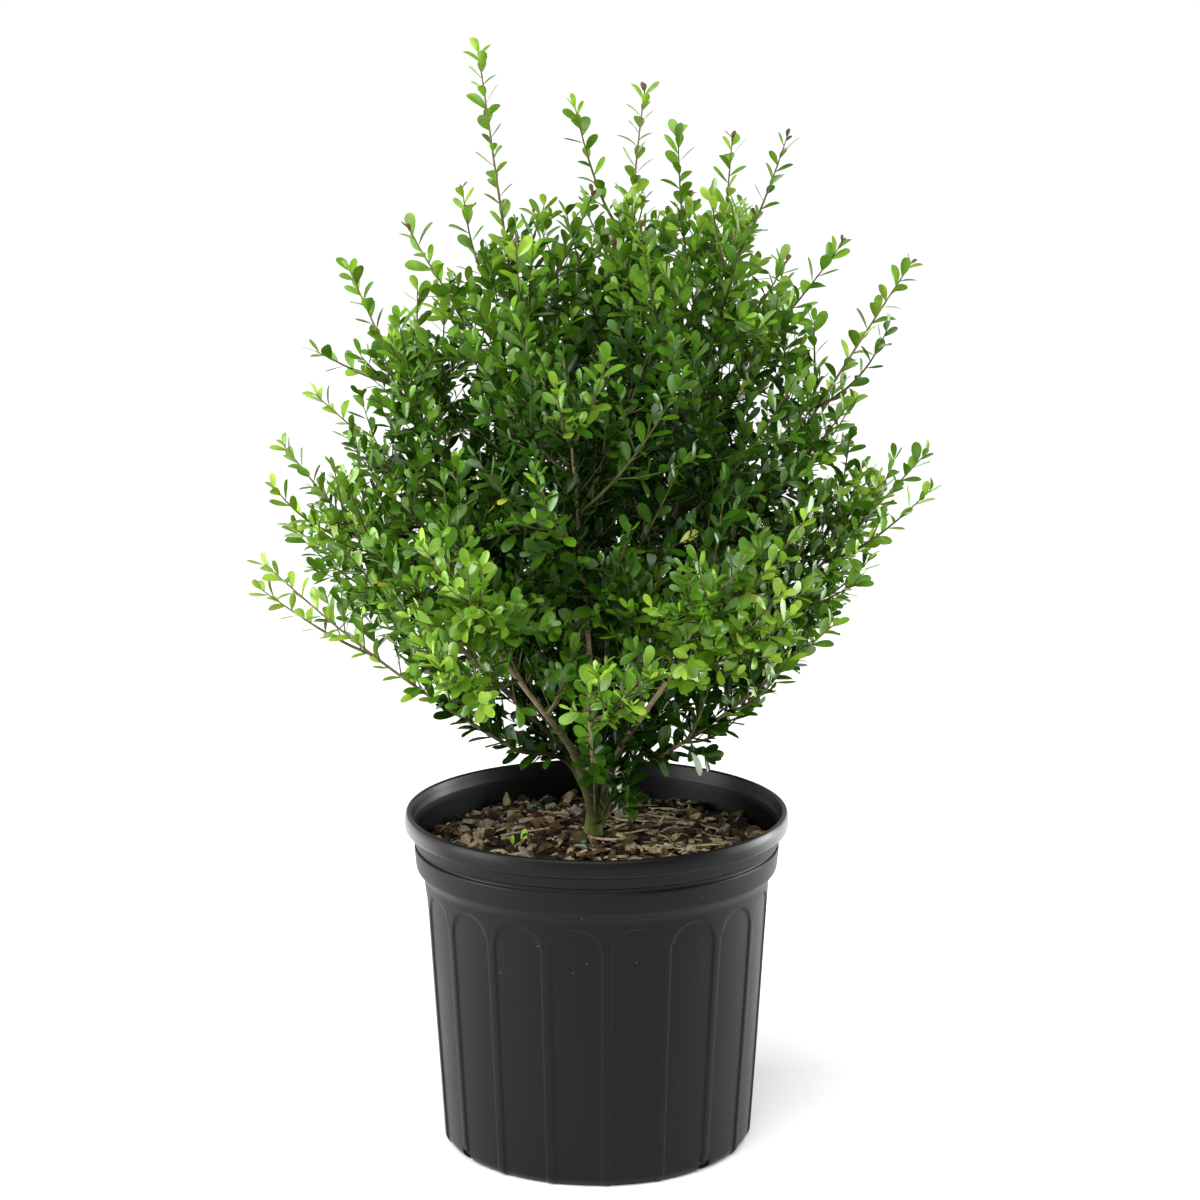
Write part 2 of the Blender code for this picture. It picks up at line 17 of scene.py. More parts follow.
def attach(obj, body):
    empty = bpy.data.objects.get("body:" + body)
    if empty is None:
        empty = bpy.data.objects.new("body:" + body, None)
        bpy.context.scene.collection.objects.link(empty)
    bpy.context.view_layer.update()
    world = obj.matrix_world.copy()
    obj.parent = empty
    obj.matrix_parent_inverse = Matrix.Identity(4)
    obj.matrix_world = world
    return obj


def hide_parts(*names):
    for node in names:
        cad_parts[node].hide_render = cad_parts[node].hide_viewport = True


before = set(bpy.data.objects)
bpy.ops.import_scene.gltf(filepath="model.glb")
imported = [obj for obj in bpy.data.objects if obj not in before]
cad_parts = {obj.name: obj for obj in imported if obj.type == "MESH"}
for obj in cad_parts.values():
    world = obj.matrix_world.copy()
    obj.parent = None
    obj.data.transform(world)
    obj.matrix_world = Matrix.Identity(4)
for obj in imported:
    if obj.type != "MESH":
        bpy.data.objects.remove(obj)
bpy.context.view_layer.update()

# %% [markdown]
# ## Shapes from arrays
#
# Every shape here is an array of points and an array of faces. Three helpers make them: one puts
# the arrays into a mesh, one works out the faces between rows of points, and one carries a round
# section along many lines at once. Modelling thousands of twigs by hand would never end, and one
# tube for each as its own object would slow Blender down, so one mesh holds all twigs of a kind.

# %% A mesh from whole arrays
BODY = "root"
UP = np.array([0.0, 0.0, 1.0])
SEEDS = {"chips": 100, "shreds": 120, "beads": 121, "grit": 122, "wood": 200, "sprays": 300,
         "leaves": 400, "solid_shoots": 0, "finer_shoots": 50}


def random_source(kind, number=0):
    """The random numbers of one kind of thing, which are the same in each run."""
    return np.random.default_rng(SEEDS[kind] + number)


def linked(name, data):
    """A new object of the scene that shows this data."""
    made = bpy.data.objects.new(name, data)
    bpy.context.scene.collection.objects.link(made)
    return made


def mesh_piece(name, shape, material, smooth=True, sharp_over=None):
    """A mesh object of a shape: its points, and its face sets as (n, corners) arrays of point
    numbers. Edges that turn by more than sharp_over degrees are shaded as creases."""
    points, face_sets = shape
    corners = np.concatenate([faces.ravel() for faces in face_sets])
    sizes = np.concatenate([np.full(len(faces), faces.shape[1]) for faces in face_sets])
    mesh = bpy.data.meshes.new(name)
    mesh.vertices.add(len(points))
    mesh.vertices.foreach_set("co", np.asarray(points, np.float32).ravel())
    mesh.loops.add(len(corners))
    mesh.loops.foreach_set("vertex_index", corners.astype(np.int32))
    mesh.polygons.add(len(sizes))
    mesh.polygons.foreach_set("loop_start", (np.cumsum(sizes) - sizes).astype(np.int32))
    mesh.update(calc_edges=True)
    mesh.validate()
    mesh.polygons.foreach_set("use_smooth", np.full(len(mesh.polygons), smooth))
    if sharp_over:
        mesh.set_sharp_from_angle(angle=np.radians(sharp_over))
    mesh.materials.append(material)
    print(f"{name}: {len(points)} points, {(sizes - 2).sum()} triangles")
    return linked(name, mesh)


def dress(piece, slot, *nodes):
    """Makes the piece ride on the plant and stand for these solids. The slot is not used."""
    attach(piece, BODY)
    if nodes:
        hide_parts(*nodes)


# %% Faces between rows of points
def ring_faces(rows, sides):
    """Quads between rows that each go right round. With the corners anticlockwise round the
    direction in which the rows follow each other, the faces look outwards."""
    row, side = np.meshgrid(np.arange(rows - 1), np.arange(sides), indexing="ij")
    here = row * sides + side
    beside = row * sides + (side + 1) % sides
    return np.stack([here, beside, beside + sides, here + sides], axis=-1).reshape(-1, 4)


def fan_faces(pole, ring_start, sides, at_the_end):
    """Triangles from a pole to the ring beside it."""
    side = np.arange(sides)
    here, beside = ring_start + side, ring_start + (side + 1) % sides
    poles = np.full(sides, pole)
    turned = (here, beside, poles) if at_the_end else (beside, here, poles)
    return np.stack(turned, axis=-1)


def repeated(faces, copies, stride):
    """The same faces on each of several copies whose points follow one another."""
    starts = np.arange(copies)[:, None, None] * stride
    return (faces[None] + starts).reshape(-1, faces.shape[1])


def closed_faces(rows, sides, copies=1):
    """Face sets of closed bodies. The points of each are its rings, then the pole before the
    first ring and the pole after the last."""
    pole = rows * sides
    ends = [fan_faces(pole, 0, sides, at_the_end=False),
            fan_faces(pole + 1, pole - sides, sides, at_the_end=True)]
    return [repeated(faces, copies, pole + 2)
            for faces in (ring_faces(rows, sides), np.concatenate(ends))]


# %% Sums that come back often
def unit(vectors):
    """Each vector divided by its length."""
    return vectors / np.maximum(np.linalg.norm(vectors, axis=-1, keepdims=True), 1e-12)


def eased(share):
    """A share that leaves 0 and reaches 1 smoothly, by 3 s^2 - 2 s^3."""
    return share**2 * (3 - 2 * share)


def distances_along(line):
    """Each point's distance from the line's start, along the line."""
    steps = np.linalg.norm(np.diff(line, axis=0), axis=1)
    return np.concatenate([[0.0], np.cumsum(steps)])


def along_path(fine, path, distances):
    """The path's points at these distances, where fine holds the distances of its own points."""
    return np.stack([np.interp(distances, fine, axis) for axis in path.T], axis=-1)


def round_angles(count):
    """Angles spread evenly over a whole turn, without its end."""
    return np.linspace(0.0, 2 * np.pi, count, endpoint=False)


# %% Many tubes at once
def tubes(lines, radii, sides):
    """The shape of closed round tubes. lines is (tubes, knots, 3) and radii (tubes, knots). The
    point at angle a of a ring is centre + radius * (cos a * side + sin a * other), where side
    and other stand square to the line and to each other."""
    count, knots = radii.shape
    tangents = unit(np.gradient(lines, axis=1))
    least = np.argmin(np.abs(tangents.mean(axis=1)), axis=1)
    side = unit(np.cross(tangents, np.eye(3)[least][:, None]))
    other = np.cross(tangents, side)
    angle = round_angles(sides)[:, None]
    ring = np.cos(angle) * side[:, :, None] + np.sin(angle) * other[:, :, None]
    points = lines[:, :, None] + radii[:, :, None, None] * ring
    walls = repeated(ring_faces(knots, sides), count, knots * sides)
    foot = np.arange(sides)[::-1][None]
    tip = (np.arange(sides) + (knots - 1) * sides)[None]
    caps = repeated(np.concatenate([foot, tip]), count, knots * sides)
    return points.reshape(-1, 3), [walls, caps]


def joined(parts):
    """One shape from several, with the point numbers moved along."""
    points, face_sets, start = [], [], 0
    for part_points, part_faces in parts:
        points.append(part_points)
        face_sets += [faces + start for faces in part_faces]
        start += len(part_points)
    return np.concatenate(points), face_sets


# %% [markdown]
# ## Finishes as expressions
#
# A finish is a small network of nodes. Drawing it with links one by one hides the sums it makes,
# so two small classes let Python's own operators write it. `1 - mask` adds a Subtract node, and
# `finish.node` adds any other one. A colour is its red, green and blue, from 0 to 1.

# %% Two classes for shader maths
class Wire:
    """A socket that carries a number. wire + other, wire * other and number - wire add Math
    nodes."""

    def __init__(self, finish, socket):
        self.finish, self.socket = finish, socket

    def math(self, operation, *operands):
        return self.finish.node("ShaderNodeMath", {"operation": operation},
                                dict(enumerate(operands)))

    def __add__(self, other):
        return self.math("ADD", self, other)

    def __rsub__(self, other):
        return self.math("SUBTRACT", other, self)

    def __mul__(self, other):
        return self.math("MULTIPLY", self, other)

    def between(self, low, high):
        """0 below low and 1 above high, with a smooth rise between them."""
        settings = {"interpolation_type": "SMOOTHSTEP"}
        limits = {"Value": self, "From Min": low, "From Max": high}
        return self.finish.node("ShaderNodeMapRange", settings, limits)


class Finish:
    """A material whose nodes are added by name, beside its own Principled shader."""

    def __init__(self, name, **constants):
        self.material = bpy.data.materials.new(name)
        self.material.use_nodes = True
        self.tree = self.material.node_tree
        self.shader = self.tree.nodes["Principled BSDF"]
        for socket, value in constants.items():
            self.set(socket.replace("_", " "), value)

    def node(self, kind, settings=None, inputs=None, output=0):
        """Adds a node: its settings first, and then the values or links of its sockets."""
        node = self.tree.nodes.new(kind)
        for setting, value in (settings or {}).items():
            setattr(node, setting, value)
        for socket, value in (inputs or {}).items():
            self.feed(node.inputs[socket], value)
        return Wire(self, node.outputs[output])

    def feed(self, socket, value):
        """Gives a socket a wire, a number, or a colour as (red, green, blue)."""
        if isinstance(value, Wire):
            self.tree.links.new(value.socket, socket)
        else:
            socket.default_value = (*value, 1.0) if isinstance(value, tuple) else value

    def set(self, socket, value):
        self.feed(self.shader.inputs[socket], value)

    def place(self):
        return self.node("ShaderNodeTexCoord", output="Object")

    def axis(self, number):
        """The place along X, Y or Z, for the numbers 0, 1 and 2."""
        return self.node("ShaderNodeSeparateXYZ", inputs={"Vector": self.place()}, output=number)

    def noise(self, scale, detail, roughness=0.55):
        inputs = {"Vector": self.place(), "Scale": scale, "Detail": detail,
                  "Roughness": roughness}
        return self.node("ShaderNodeTexNoise", inputs=inputs)

    def mix(self, mask, first, second):
        """The first colour where mask is 0 and the second where it is 1."""
        inputs = {0: mask, 6: first, 7: second}
        return self.node("ShaderNodeMix", {"data_type": "RGBA"}, inputs, output=2)

    def tint(self, mask, first, second):
        self.set("Base Color", self.mix(mask, first, second))

    def bump(self, height, distance):
        inputs = {"Height": height, "Distance": distance}
        self.set("Normal", self.node("ShaderNodeBump", inputs=inputs))


# %% [markdown]
# ## Camera and studio
#
# The camera stands a little over two metres off, about level with the top of the shrub, and looks
# down by some twelve degrees, so that the bark mix shows inside the rim. The plant stands on a
# pale floor in front of white, with broad soft lamps on both sides and above, as in a plant
# nursery's studio.

# %% The camera
CAMERA_PLACE = (0.0025, -2.2, 0.862)
CAMERA_LOOKS_DOWN = 11.78
SENSOR, FOCAL_LENGTH = 36.0, 93.66

camera_data = bpy.data.cameras.new("camera")
camera_data.sensor_width = SENSOR
camera_data.lens = FOCAL_LENGTH
camera = linked("camera", camera_data)
camera.location = CAMERA_PLACE
camera.rotation_euler = (np.radians(90 - CAMERA_LOOKS_DOWN), 0.0, 0.0)
bpy.context.scene.camera = camera

# %% The studio
Lamp = namedtuple("Lamp", "place size power")
LAMPS = {
    "left_strip": Lamp((-2.0, -0.6, 0.7), 1.2, 58.0),
    "right_strip": Lamp((2.0, 0.5, 0.6), 1.2, 48.0),
}
SKY_STRENGTH = 3.6
SKY_TILT, SKY_TURN, SKY_WIDTH = 32, -14, 60
WORLD_STRENGTH = 0.27
LAMPS_AIM = np.array([0.0, 0.0, 0.42])
FLOOR_REACH, FLOOR_DROP, FLOOR_WHITE = 30.0, 0.0004, 0.94


def add_lamp(name, lamp):
    """A square soft lamp that faces the middle of the plant."""
    data = bpy.data.lights.new(name, "AREA")
    data.shape, data.size, data.energy = "SQUARE", lamp.size, lamp.power
    away = unit(lamp.place - LAMPS_AIM)
    across = unit(np.cross(UP, away))
    turn = np.eye(4)
    turn[:3] = np.stack([across, np.cross(away, across), away, lamp.place], axis=1)
    linked(name, data).matrix_world = Matrix(turn.tolist())


def add_sky():
    """The broad panel overhead: light from a wide patch of the sky, the same all over the floor."""
    data = bpy.data.lights.new("sky_panel", "SUN")
    data.energy, data.angle = SKY_STRENGTH, np.radians(SKY_WIDTH)
    turn = (np.radians(SKY_TILT), 0.0, np.radians(SKY_TURN))
    linked("sky_panel", data).rotation_euler = turn


def studio_world():
    """White to look at, and dimmer as a light, so that the plant keeps its own shadows."""
    world = bpy.data.worlds.new("studio")
    world.use_nodes = True
    nodes, links = world.node_tree.nodes, world.node_tree.links
    seen, lit = nodes["Background"], nodes.new("ShaderNodeBackground")
    seen.inputs["Color"].default_value = lit.inputs["Color"].default_value = (1, 1, 1, 1)
    lit.inputs["Strength"].default_value = WORLD_STRENGTH
    choice, path = nodes.new("ShaderNodeMixShader"), nodes.new("ShaderNodeLightPath")
    links.new(path.outputs["Is Camera Ray"], choice.inputs[0])
    links.new(lit.outputs[0], choice.inputs[1])
    links.new(seen.outputs[0], choice.inputs[2])
    links.new(choice.outputs[0], nodes["World Output"].inputs["Surface"])
    return world


for lamp_name, lamp in LAMPS.items():
    add_lamp(lamp_name, lamp)
add_sky()
bpy.context.scene.world = studio_world()
bpy.context.scene.view_settings.view_transform = "Standard"

white = Finish("studio floor", Base_Color=(FLOOR_WHITE,) * 3, Roughness=0.9)
corners = np.array([(-1, -1, 0), (1, -1, 0), (1, 1, 0), (-1, 1, 0)])
floor_shape = corners * FLOOR_REACH - FLOOR_DROP * UP, [np.array([[0, 1, 2, 3]])]
floor = mesh_piece("studio_floor", floor_shape, white.material, smooth=False)

# %% [markdown]
# ## The pot
#
# The pot is blown from black plastic. Tall panels with round tops are pressed into its wall, and
# three bands step out to a rolled lip. Turning a profile gives all of that but the panels. A grid
# of angle and height can be pressed in by a formula, so each point of the wall moves in by the
# panel's depth where it lies inside a panel's outline. The grid is finer where the outlines run.

# %% Sizes of the pot
PANELS, FIRST_PANEL = 18, 263.4
PANEL_TOP, PANEL_HALF_ANGLE = 0.1945, 8.45
PANEL_DEPTH, PANEL_EDGE = 0.0012, 0.0013
WALL_TOP_RADIUS, WALL_TOP = 0.1262, 0.2010
WALL_FOOT_RADIUS, WALL_FOOT = 0.1142, 0.0045
UNDERSIDE_RADIUS = 0.1105
WALL_THICKNESS, FLOOR_THICKNESS = 0.0030, 0.0040

# (radius, height, rounding of the corner) up the outside, over the lip and down inside.
OUTSIDE_FOOT = [(UNDERSIDE_RADIUS, 0.0, 0.0022), (WALL_FOOT_RADIUS, WALL_FOOT, 0.0022)]
RIM = [
    (WALL_TOP_RADIUS, WALL_TOP, 0.0030), (0.1318, 0.2072, 0.0022), (0.1332, 0.2228, 0.0010),
    (0.1317, 0.2238, 0.0006), (0.1317, 0.2262, 0.0006), (0.1337, 0.2274, 0.0008),
    (0.1344, 0.2340, 0.0008), (0.1366, 0.2349, 0.0006), (0.1398, 0.2368, 0.0014),
    (0.1400, 0.2440, 0.0022), (0.1386, 0.2489, 0.0020), (0.1356, 0.2489, 0.0014),
    (0.1338, 0.2420, 0.0016), (0.1326, 0.2392, 0.0010), (0.1316, 0.2300, 0.0020),
    (0.1290, 0.2085, 0.0020), (0.1236, 0.2006, 0.0020),
]
INSIDE_FOOT = [(WALL_FOOT_RADIUS - WALL_THICKNESS, FLOOR_THICKNESS, 0.0015)]
CORNER_STEPS, LONGEST_ROUNDING = 3, 0.45  # the second as a share of the side beside it


def rounded(corners):
    """Each corner becomes a short curve: with d the rounding, it leaves d before the corner C at
    P, ends d after it at Q, and at share t lies at (1-t)^2 P + 2t(1-t) C + t^2 Q."""
    places = np.array(corners)[:, :2]
    path = [places[:1]]
    for before, (radius, height, size), after in zip(places, corners[1:-1], places[2:]):
        corner = np.array([radius, height])
        start, end = (
            corner + unit(to - corner) * min(size, LONGEST_ROUNDING * np.linalg.norm(to - corner))
            for to in (before, after))
        t = np.linspace(0.0, 1.0, CORNER_STEPS + 1)[:, None]
        path.append((1 - t) ** 2 * start + 2 * t * (1 - t) * corner + t**2 * end)
    path.append(places[-1:])
    return np.concatenate(path)


# %% The pot's grid
FIRST_ROW, COARSE_ROWS, FINE_ROW = 0.012, 9, 0.0008
ROUND_TOPS = (-0.024, 0.0024)  # from below the panels' highest point to above it
PANEL_COLUMNS, COLUMNS_SHORT_OF_EDGE = 17, 0.75
EDGE_COLUMNS = np.array([-0.45, -0.15, 0.15, 0.45])
TOP_FLATNESS = 0.99  # the round tops' radius, as a share of half a panel's width
WALL_WAVES = 0.00016


def split_wall(profile):
    """Adds heights up the wall, close together where the panels' round tops run."""
    spring, above = PANEL_TOP + np.array(ROUND_TOPS)
    heights = np.concatenate([np.linspace(FIRST_ROW, spring, COARSE_ROWS),
                              np.arange(spring + FINE_ROW, above, FINE_ROW)])
    rise = (heights - WALL_FOOT) / (WALL_TOP - WALL_FOOT)
    radii = WALL_FOOT_RADIUS + rise * (WALL_TOP_RADIUS - WALL_FOOT_RADIUS)
    step = int(np.argmax(profile[:, 1] > heights[0]))
    return np.insert(profile, step, np.stack([radii, heights], axis=1), axis=0)


def panel_angles():
    """Angles round the pot, in degrees, with most of them near the panels' upright edges."""
    inner = np.linspace(-1.0, 1.0, PANEL_COLUMNS) * (PANEL_HALF_ANGLE - COLUMNS_SHORT_OF_EDGE)
    edge = PANEL_HALF_ANGLE + EDGE_COLUMNS
    one = np.concatenate([-edge[::-1], inner, edge, [180 / PANELS]])
    centres = FIRST_PANEL + 360 / PANELS * np.arange(PANELS)
    return np.sort((centres[:, None] + np.sort(one)).ravel() % 360)


def panel_mask(angles, heights, radii):
    """1 inside a panel and 0 outside, from the distance to its outline: the distance to its
    upright sides below the round top's centre, and to that centre above it."""
    pitch = 360 / PANELS
    offset = (angles - FIRST_PANEL + pitch / 2) % pitch - pitch / 2
    half = np.radians(PANEL_HALF_ANGLE)
    across = np.abs(np.radians(offset)) * radii
    top_radius = half * WALL_TOP_RADIUS * TOP_FLATNESS
    above = np.maximum(heights - (PANEL_TOP - top_radius), 0.0)
    outside = np.where(above > 0, np.hypot(across, above) - top_radius, across - half * radii)
    return eased(np.clip(0.5 - outside / PANEL_EDGE, 0.0, 1.0))


def pot_shape():
    """Radius and height from the profile, pressed in at the panels and with the slight
    unevenness of a blown wall."""
    profile = rounded([(0.0, 0.0, 0.0)] + OUTSIDE_FOOT + RIM + INSIDE_FOOT
                      + [(0.0, FLOOR_THICKNESS, 0.0)])
    profile = split_wall(profile)[1:-1]
    angles = panel_angles()
    radii, heights = np.repeat(profile[:, :1], len(angles), 1), profile[:, 1:]
    outer = np.arange(len(profile))[:, None] <= np.argmax(profile[:, 1] >= WALL_TOP)
    pressed = panel_mask(angles[None], heights, radii) * outer
    turn = np.radians(angles)[None]
    uneven = np.sin(3 * turn + 1.1 + 9 * heights) + 0.7 * np.sin(5 * turn + 31 * heights)
    radii = radii - PANEL_DEPTH * pressed + WALL_WAVES * uneven
    grid = np.stack(np.broadcast_arrays(radii * np.cos(turn), radii * np.sin(turn), heights), -1)
    points = np.concatenate([grid.reshape(-1, 3), [[0, 0, 0], [0, 0, FLOOR_THICKNESS]]])
    return points, closed_faces(*radii.shape)


# %% [markdown]
# The plastic is satin black. Handling leaves it uneven: a thin film of dust lies on it, faint rub
# marks run round it, and single specks stick anywhere. At the left and the right the lip is painted
# paler and given a clear coat: a painted highlight where the side lamps shine on it.

# %% The plastic
PLASTIC, DUST_AND_SHEEN = (0.0036, 0.0038, 0.0037), (0.150, 0.145, 0.130)
FILM_SHARE, SPECK_SHARE, LIP_SHEEN_SHARE = 0.030, 0.8, 0.16
LIP_SHEEN_SIDES = (0.0100, 0.0175)  # x squared where the painted highlight starts, and where it is whole
LIP_SHEEN_HEIGHTS = (0.2335, 0.2375)

plastic = Finish("satin black plastic", Roughness=0.38, Specular_IOR_Level=0.15,
                 Coat_Roughness=0.32)
cloud = plastic.noise(7.0, detail=4.0)
film = plastic.noise(38.0, detail=6.0, roughness=0.7)
specks = plastic.node("ShaderNodeTexVoronoi", inputs={"Vector": plastic.place(), "Scale": 95.0})
speck = 1 - specks.between(0.035, 0.075)
sparse = plastic.noise(23.0, detail=1.0).between(0.60, 0.66)
dust = cloud.between(0.45, 0.75) * film.between(0.4, 0.8) * FILM_SHARE
dust = dust + speck * sparse * SPECK_SHARE
x = plastic.axis(0)
# Painted highlight on the lip at the left and the right: a paler colour, mixed with the dust, and a
# clear coat.
painted_lip_sheen = (x * x).between(*LIP_SHEEN_SIDES) * plastic.axis(2).between(*LIP_SHEEN_HEIGHTS)
plastic.tint(dust + painted_lip_sheen * film * LIP_SHEEN_SHARE, PLASTIC, DUST_AND_SHEEN)
plastic.set("Coat Weight", painted_lip_sheen)
plastic.set("Roughness", cloud * 0.16 + film * 0.12 + 0.25)
plastic.bump(plastic.noise(420.0, detail=2.0), distance=0.00006)

# %% The pot, with its drain holes cut
DRAIN_RADIUS, DRAIN_TILT, DRAIN_OFFSETS = 0.0058, 128, (-50, 50, 130, 230)
DRAIN_HEIGHT, DRAIN_HALF, DRAIN_SIDES = 0.0015, 0.012, 20


def drain_cutters(material):
    """Short round rods, each through the pot's bottom corner on a land between two panels."""
    lines = []
    for offset in DRAIN_OFFSETS:
        turn, tilt = np.radians(FIRST_PANEL + offset), np.radians(DRAIN_TILT)
        outwards = np.array([np.cos(turn), np.sin(turn), 0.0])
        along = np.sin(tilt) * outwards + np.cos(tilt) * UP
        corner = WALL_FOOT_RADIUS * outwards + DRAIN_HEIGHT * UP
        lines.append(corner + np.linspace(-DRAIN_HALF, DRAIN_HALF, 3)[:, None] * along)
    rods = tubes(np.array(lines), np.full((len(lines), 3), DRAIN_RADIUS), DRAIN_SIDES)
    return mesh_piece("drain_cutters", rods, material)


def cut(piece, cutter):
    """Cuts one piece from another, applies that, and removes the cutter."""
    modifier = piece.modifiers.new("Cut", "BOOLEAN")
    modifier.operation, modifier.object, modifier.solver = "DIFFERENCE", cutter, "MANIFOLD"
    graph = bpy.context.evaluated_depsgraph_get()
    mesh = bpy.data.meshes.new_from_object(piece.evaluated_get(graph))
    piece.modifiers.remove(modifier)
    piece.data = mesh
    bpy.data.objects.remove(cutter, do_unlink=True)
    print(f"{piece.name} after the cut: {len(mesh.polygons)} faces")


nursery_pot = mesh_piece("nursery_pot", pot_shape(), plastic.material, sharp_over=48)
cut(nursery_pot, drain_cutters(plastic.material))
dress(nursery_pot, "pot_plastic", "pot")

# %% [markdown]
# ## The bark mix
#
# The pot is full of chipped bark, and a few other things lie in it: pale wood shreds, green beads
# of slow-release feed, white grit and a seedling. The ground between the chips is one closed,
# lumpy body. The chips are thin six-cornered shards, dealt out at random places and tilts into one
# mesh for each colour of bark.

# %% The mix's surface
MIX_EDGE, MIX_CROWN = 0.2210, 0.2272  # heights at the rim and round the trunk
MIX_SLOPE = (0.040, 0.129)  # it falls between these distances from the middle
MIX_SINK, MIX_LUMPS = 0.0016, 0.0009
MIX_REACH, MIX_SHOULDER, MIX_MIDDLE = 0.1284, 0.2100, 0.002
MIX_CLEARANCE, MIX_OFF_FLOOR = 0.0007, 0.0003
MIX_ROWS, MIX_SIDES = 44, 120


def mix_height(x, y):
    """Height of the mix: level round the trunk, then falling evenly to the rim, with lumps."""
    radius = np.hypot(x, y)
    slope = np.interp(radius, MIX_SLOPE, [MIX_CROWN, MIX_EDGE])
    lumps = np.sin(95 * x + 1.3) * np.sin(83 * y + 0.4)
    lumps = lumps + 0.6 * np.sin(210 * x + 2) * np.sin(190 * y)
    return slope - MIX_SINK + MIX_LUMPS * lumps


def mix_body():
    """The mix's shape: up the inside of the wall, then inwards over the top."""
    foot = WALL_FOOT_RADIUS - WALL_THICKNESS - MIX_CLEARANCE
    shoulder = WALL_TOP_RADIUS - WALL_THICKNESS - MIX_CLEARANCE
    side = np.array([(foot, FLOOR_THICKNESS + MIX_OFF_FLOOR), (shoulder, WALL_TOP),
                     (MIX_REACH, MIX_SHOULDER)])
    over = np.linspace(MIX_REACH, MIX_MIDDLE, MIX_ROWS)
    turn = round_angles(MIX_SIDES)[None]
    radii = np.concatenate([side[:, 0], over])[:, None]
    x, y = radii * np.cos(turn), radii * np.sin(turn)
    z = mix_height(x, y)
    z[: len(side)] = side[:, 1:]
    poles = [[0, 0, side[0, 1]], [0, 0, mix_height(0.0, 0.0)]]
    points = np.concatenate([np.stack([x, y, z], -1).reshape(-1, 3), poles])
    return points, closed_faces(*x.shape)


def bark_finish(name, dark, light, roughness=0.9):
    """Bark or wood in two shades: broad stains, with fine fibres for relief."""
    finish = Finish(name, Roughness=roughness, Specular_IOR_Level=0.2)
    stain = finish.noise(160.0, detail=4.0, roughness=0.65)
    finish.tint(stain.between(0.3, 0.7), dark, light)
    finish.bump(finish.noise(900.0, detail=3.0), distance=0.0002)
    return finish.material


soil = bark_finish("damp fine bark", (0.012, 0.008, 0.005), (0.040, 0.026, 0.016))
dress(mesh_piece("mix_ground", mix_body(), soil), "bark_mix", "potting_mix")

# %% Chips of bark
Chips = namedtuple("Chips", "count length slimness thickness dark light")
CHIPS = {
    "dark": Chips(760, (0.004, 0.015), (0.45, 0.9), (0.0010, 0.0030),
                  (0.010, 0.007, 0.004), (0.030, 0.019, 0.012)),
    "brown": Chips(380, (0.006, 0.024), (0.35, 0.8), (0.0012, 0.0032),
                   (0.040, 0.026, 0.012), (0.120, 0.078, 0.036)),
    "red": Chips(240, (0.004, 0.013), (0.30, 0.7), (0.0010, 0.0024),
                 (0.060, 0.024, 0.011), (0.150, 0.066, 0.030)),
    "tan": Chips(210, (0.006, 0.027), (0.25, 0.65), (0.0012, 0.0028),
                 (0.160, 0.122, 0.062), (0.440, 0.360, 0.205)),
    "grey": Chips(120, (0.006, 0.023), (0.50, 0.9), (0.0012, 0.0032),
                  (0.115, 0.105, 0.076), (0.350, 0.320, 0.240)),
}
CHIP_CORNERS, CHIP_TILT, MOST_ARE_SHORT = 6, 24, 1.8
CORNER_SHIFT, CORNER_REACH = (-0.3, 0.3), (0.70, 1.10)
CHIP_TOP = (0.88, 0.84, -1.0)  # the top's corners as a share of the bottom's
CHIP_LIFT = (0.0002, 0.0024)
TRUNK_KEEP_CLEAR, CHIPS_REACH = 0.010, 0.124


def turns(yaw, pitch, roll):
    """Rotation matrices that roll about X, then pitch about Y, then yaw about Z."""
    cy, sy, cp, sp, cr, sr = (f(a) for a in (yaw, pitch, roll) for f in (np.cos, np.sin))
    rows = [
        [cy * cp, cy * sp * sr - sy * cr, cy * sp * cr + sy * sr],
        [sy * cp, sy * sp * sr + cy * cr, sy * sp * cr - cy * sr],
        [-sp, cp * sr, cp * cr],
    ]
    return np.moveaxis(np.array(rows), -1, 0)


def scattered(draw, count, reach=CHIPS_REACH):
    """Places spread evenly over the ring of mix between the trunk and the rim."""
    radius = np.sqrt(draw.uniform(TRUNK_KEEP_CLEAR**2, reach**2, count))
    turn = draw.uniform(0, 2 * np.pi, count)
    return radius * np.cos(turn), radius * np.sin(turn)


def shards(kind, draw):
    """Flat six-cornered chips: uneven rings of corners at the top and the bottom of each."""
    n = kind.count
    shortest, longest = kind.length
    length = draw.uniform(0, 1, n) ** MOST_ARE_SHORT * (longest - shortest) + shortest
    width = length * draw.uniform(*kind.slimness, n)
    thick = draw.uniform(*kind.thickness, n)
    number = np.arange(CHIP_CORNERS)
    shift = draw.uniform(*CORNER_SHIFT, (n, CHIP_CORNERS))
    corner = (number + shift) * 2 * np.pi / CHIP_CORNERS
    uneven = draw.uniform(*CORNER_REACH, (n, CHIP_CORNERS))
    x = np.cos(corner) * uneven * length[:, None] / 2
    y = np.sin(corner) * uneven * width[:, None] / 2
    lower = np.stack([x, y, np.repeat(-thick[:, None] / 2, CHIP_CORNERS, 1)], -1)
    tilt = np.radians(CHIP_TILT)
    turned = turns(draw.uniform(0, 2 * np.pi, n), draw.normal(0, tilt, n), draw.normal(0, tilt, n))
    both = np.concatenate([lower, lower * CHIP_TOP], axis=1)
    local = np.einsum("nij,nkj->nki", turned, both)
    px, py = scattered(draw, n)
    rest = mix_height(px, py) + thick / 2 + draw.uniform(*CHIP_LIFT, n)
    local += np.stack([px, py, rest], -1)[:, None]
    ends = np.stack([number[::-1], number + CHIP_CORNERS])
    return local.reshape(-1, 3), [repeated(faces, n, 2 * CHIP_CORNERS)
                                  for faces in (ring_faces(2, CHIP_CORNERS), ends)]


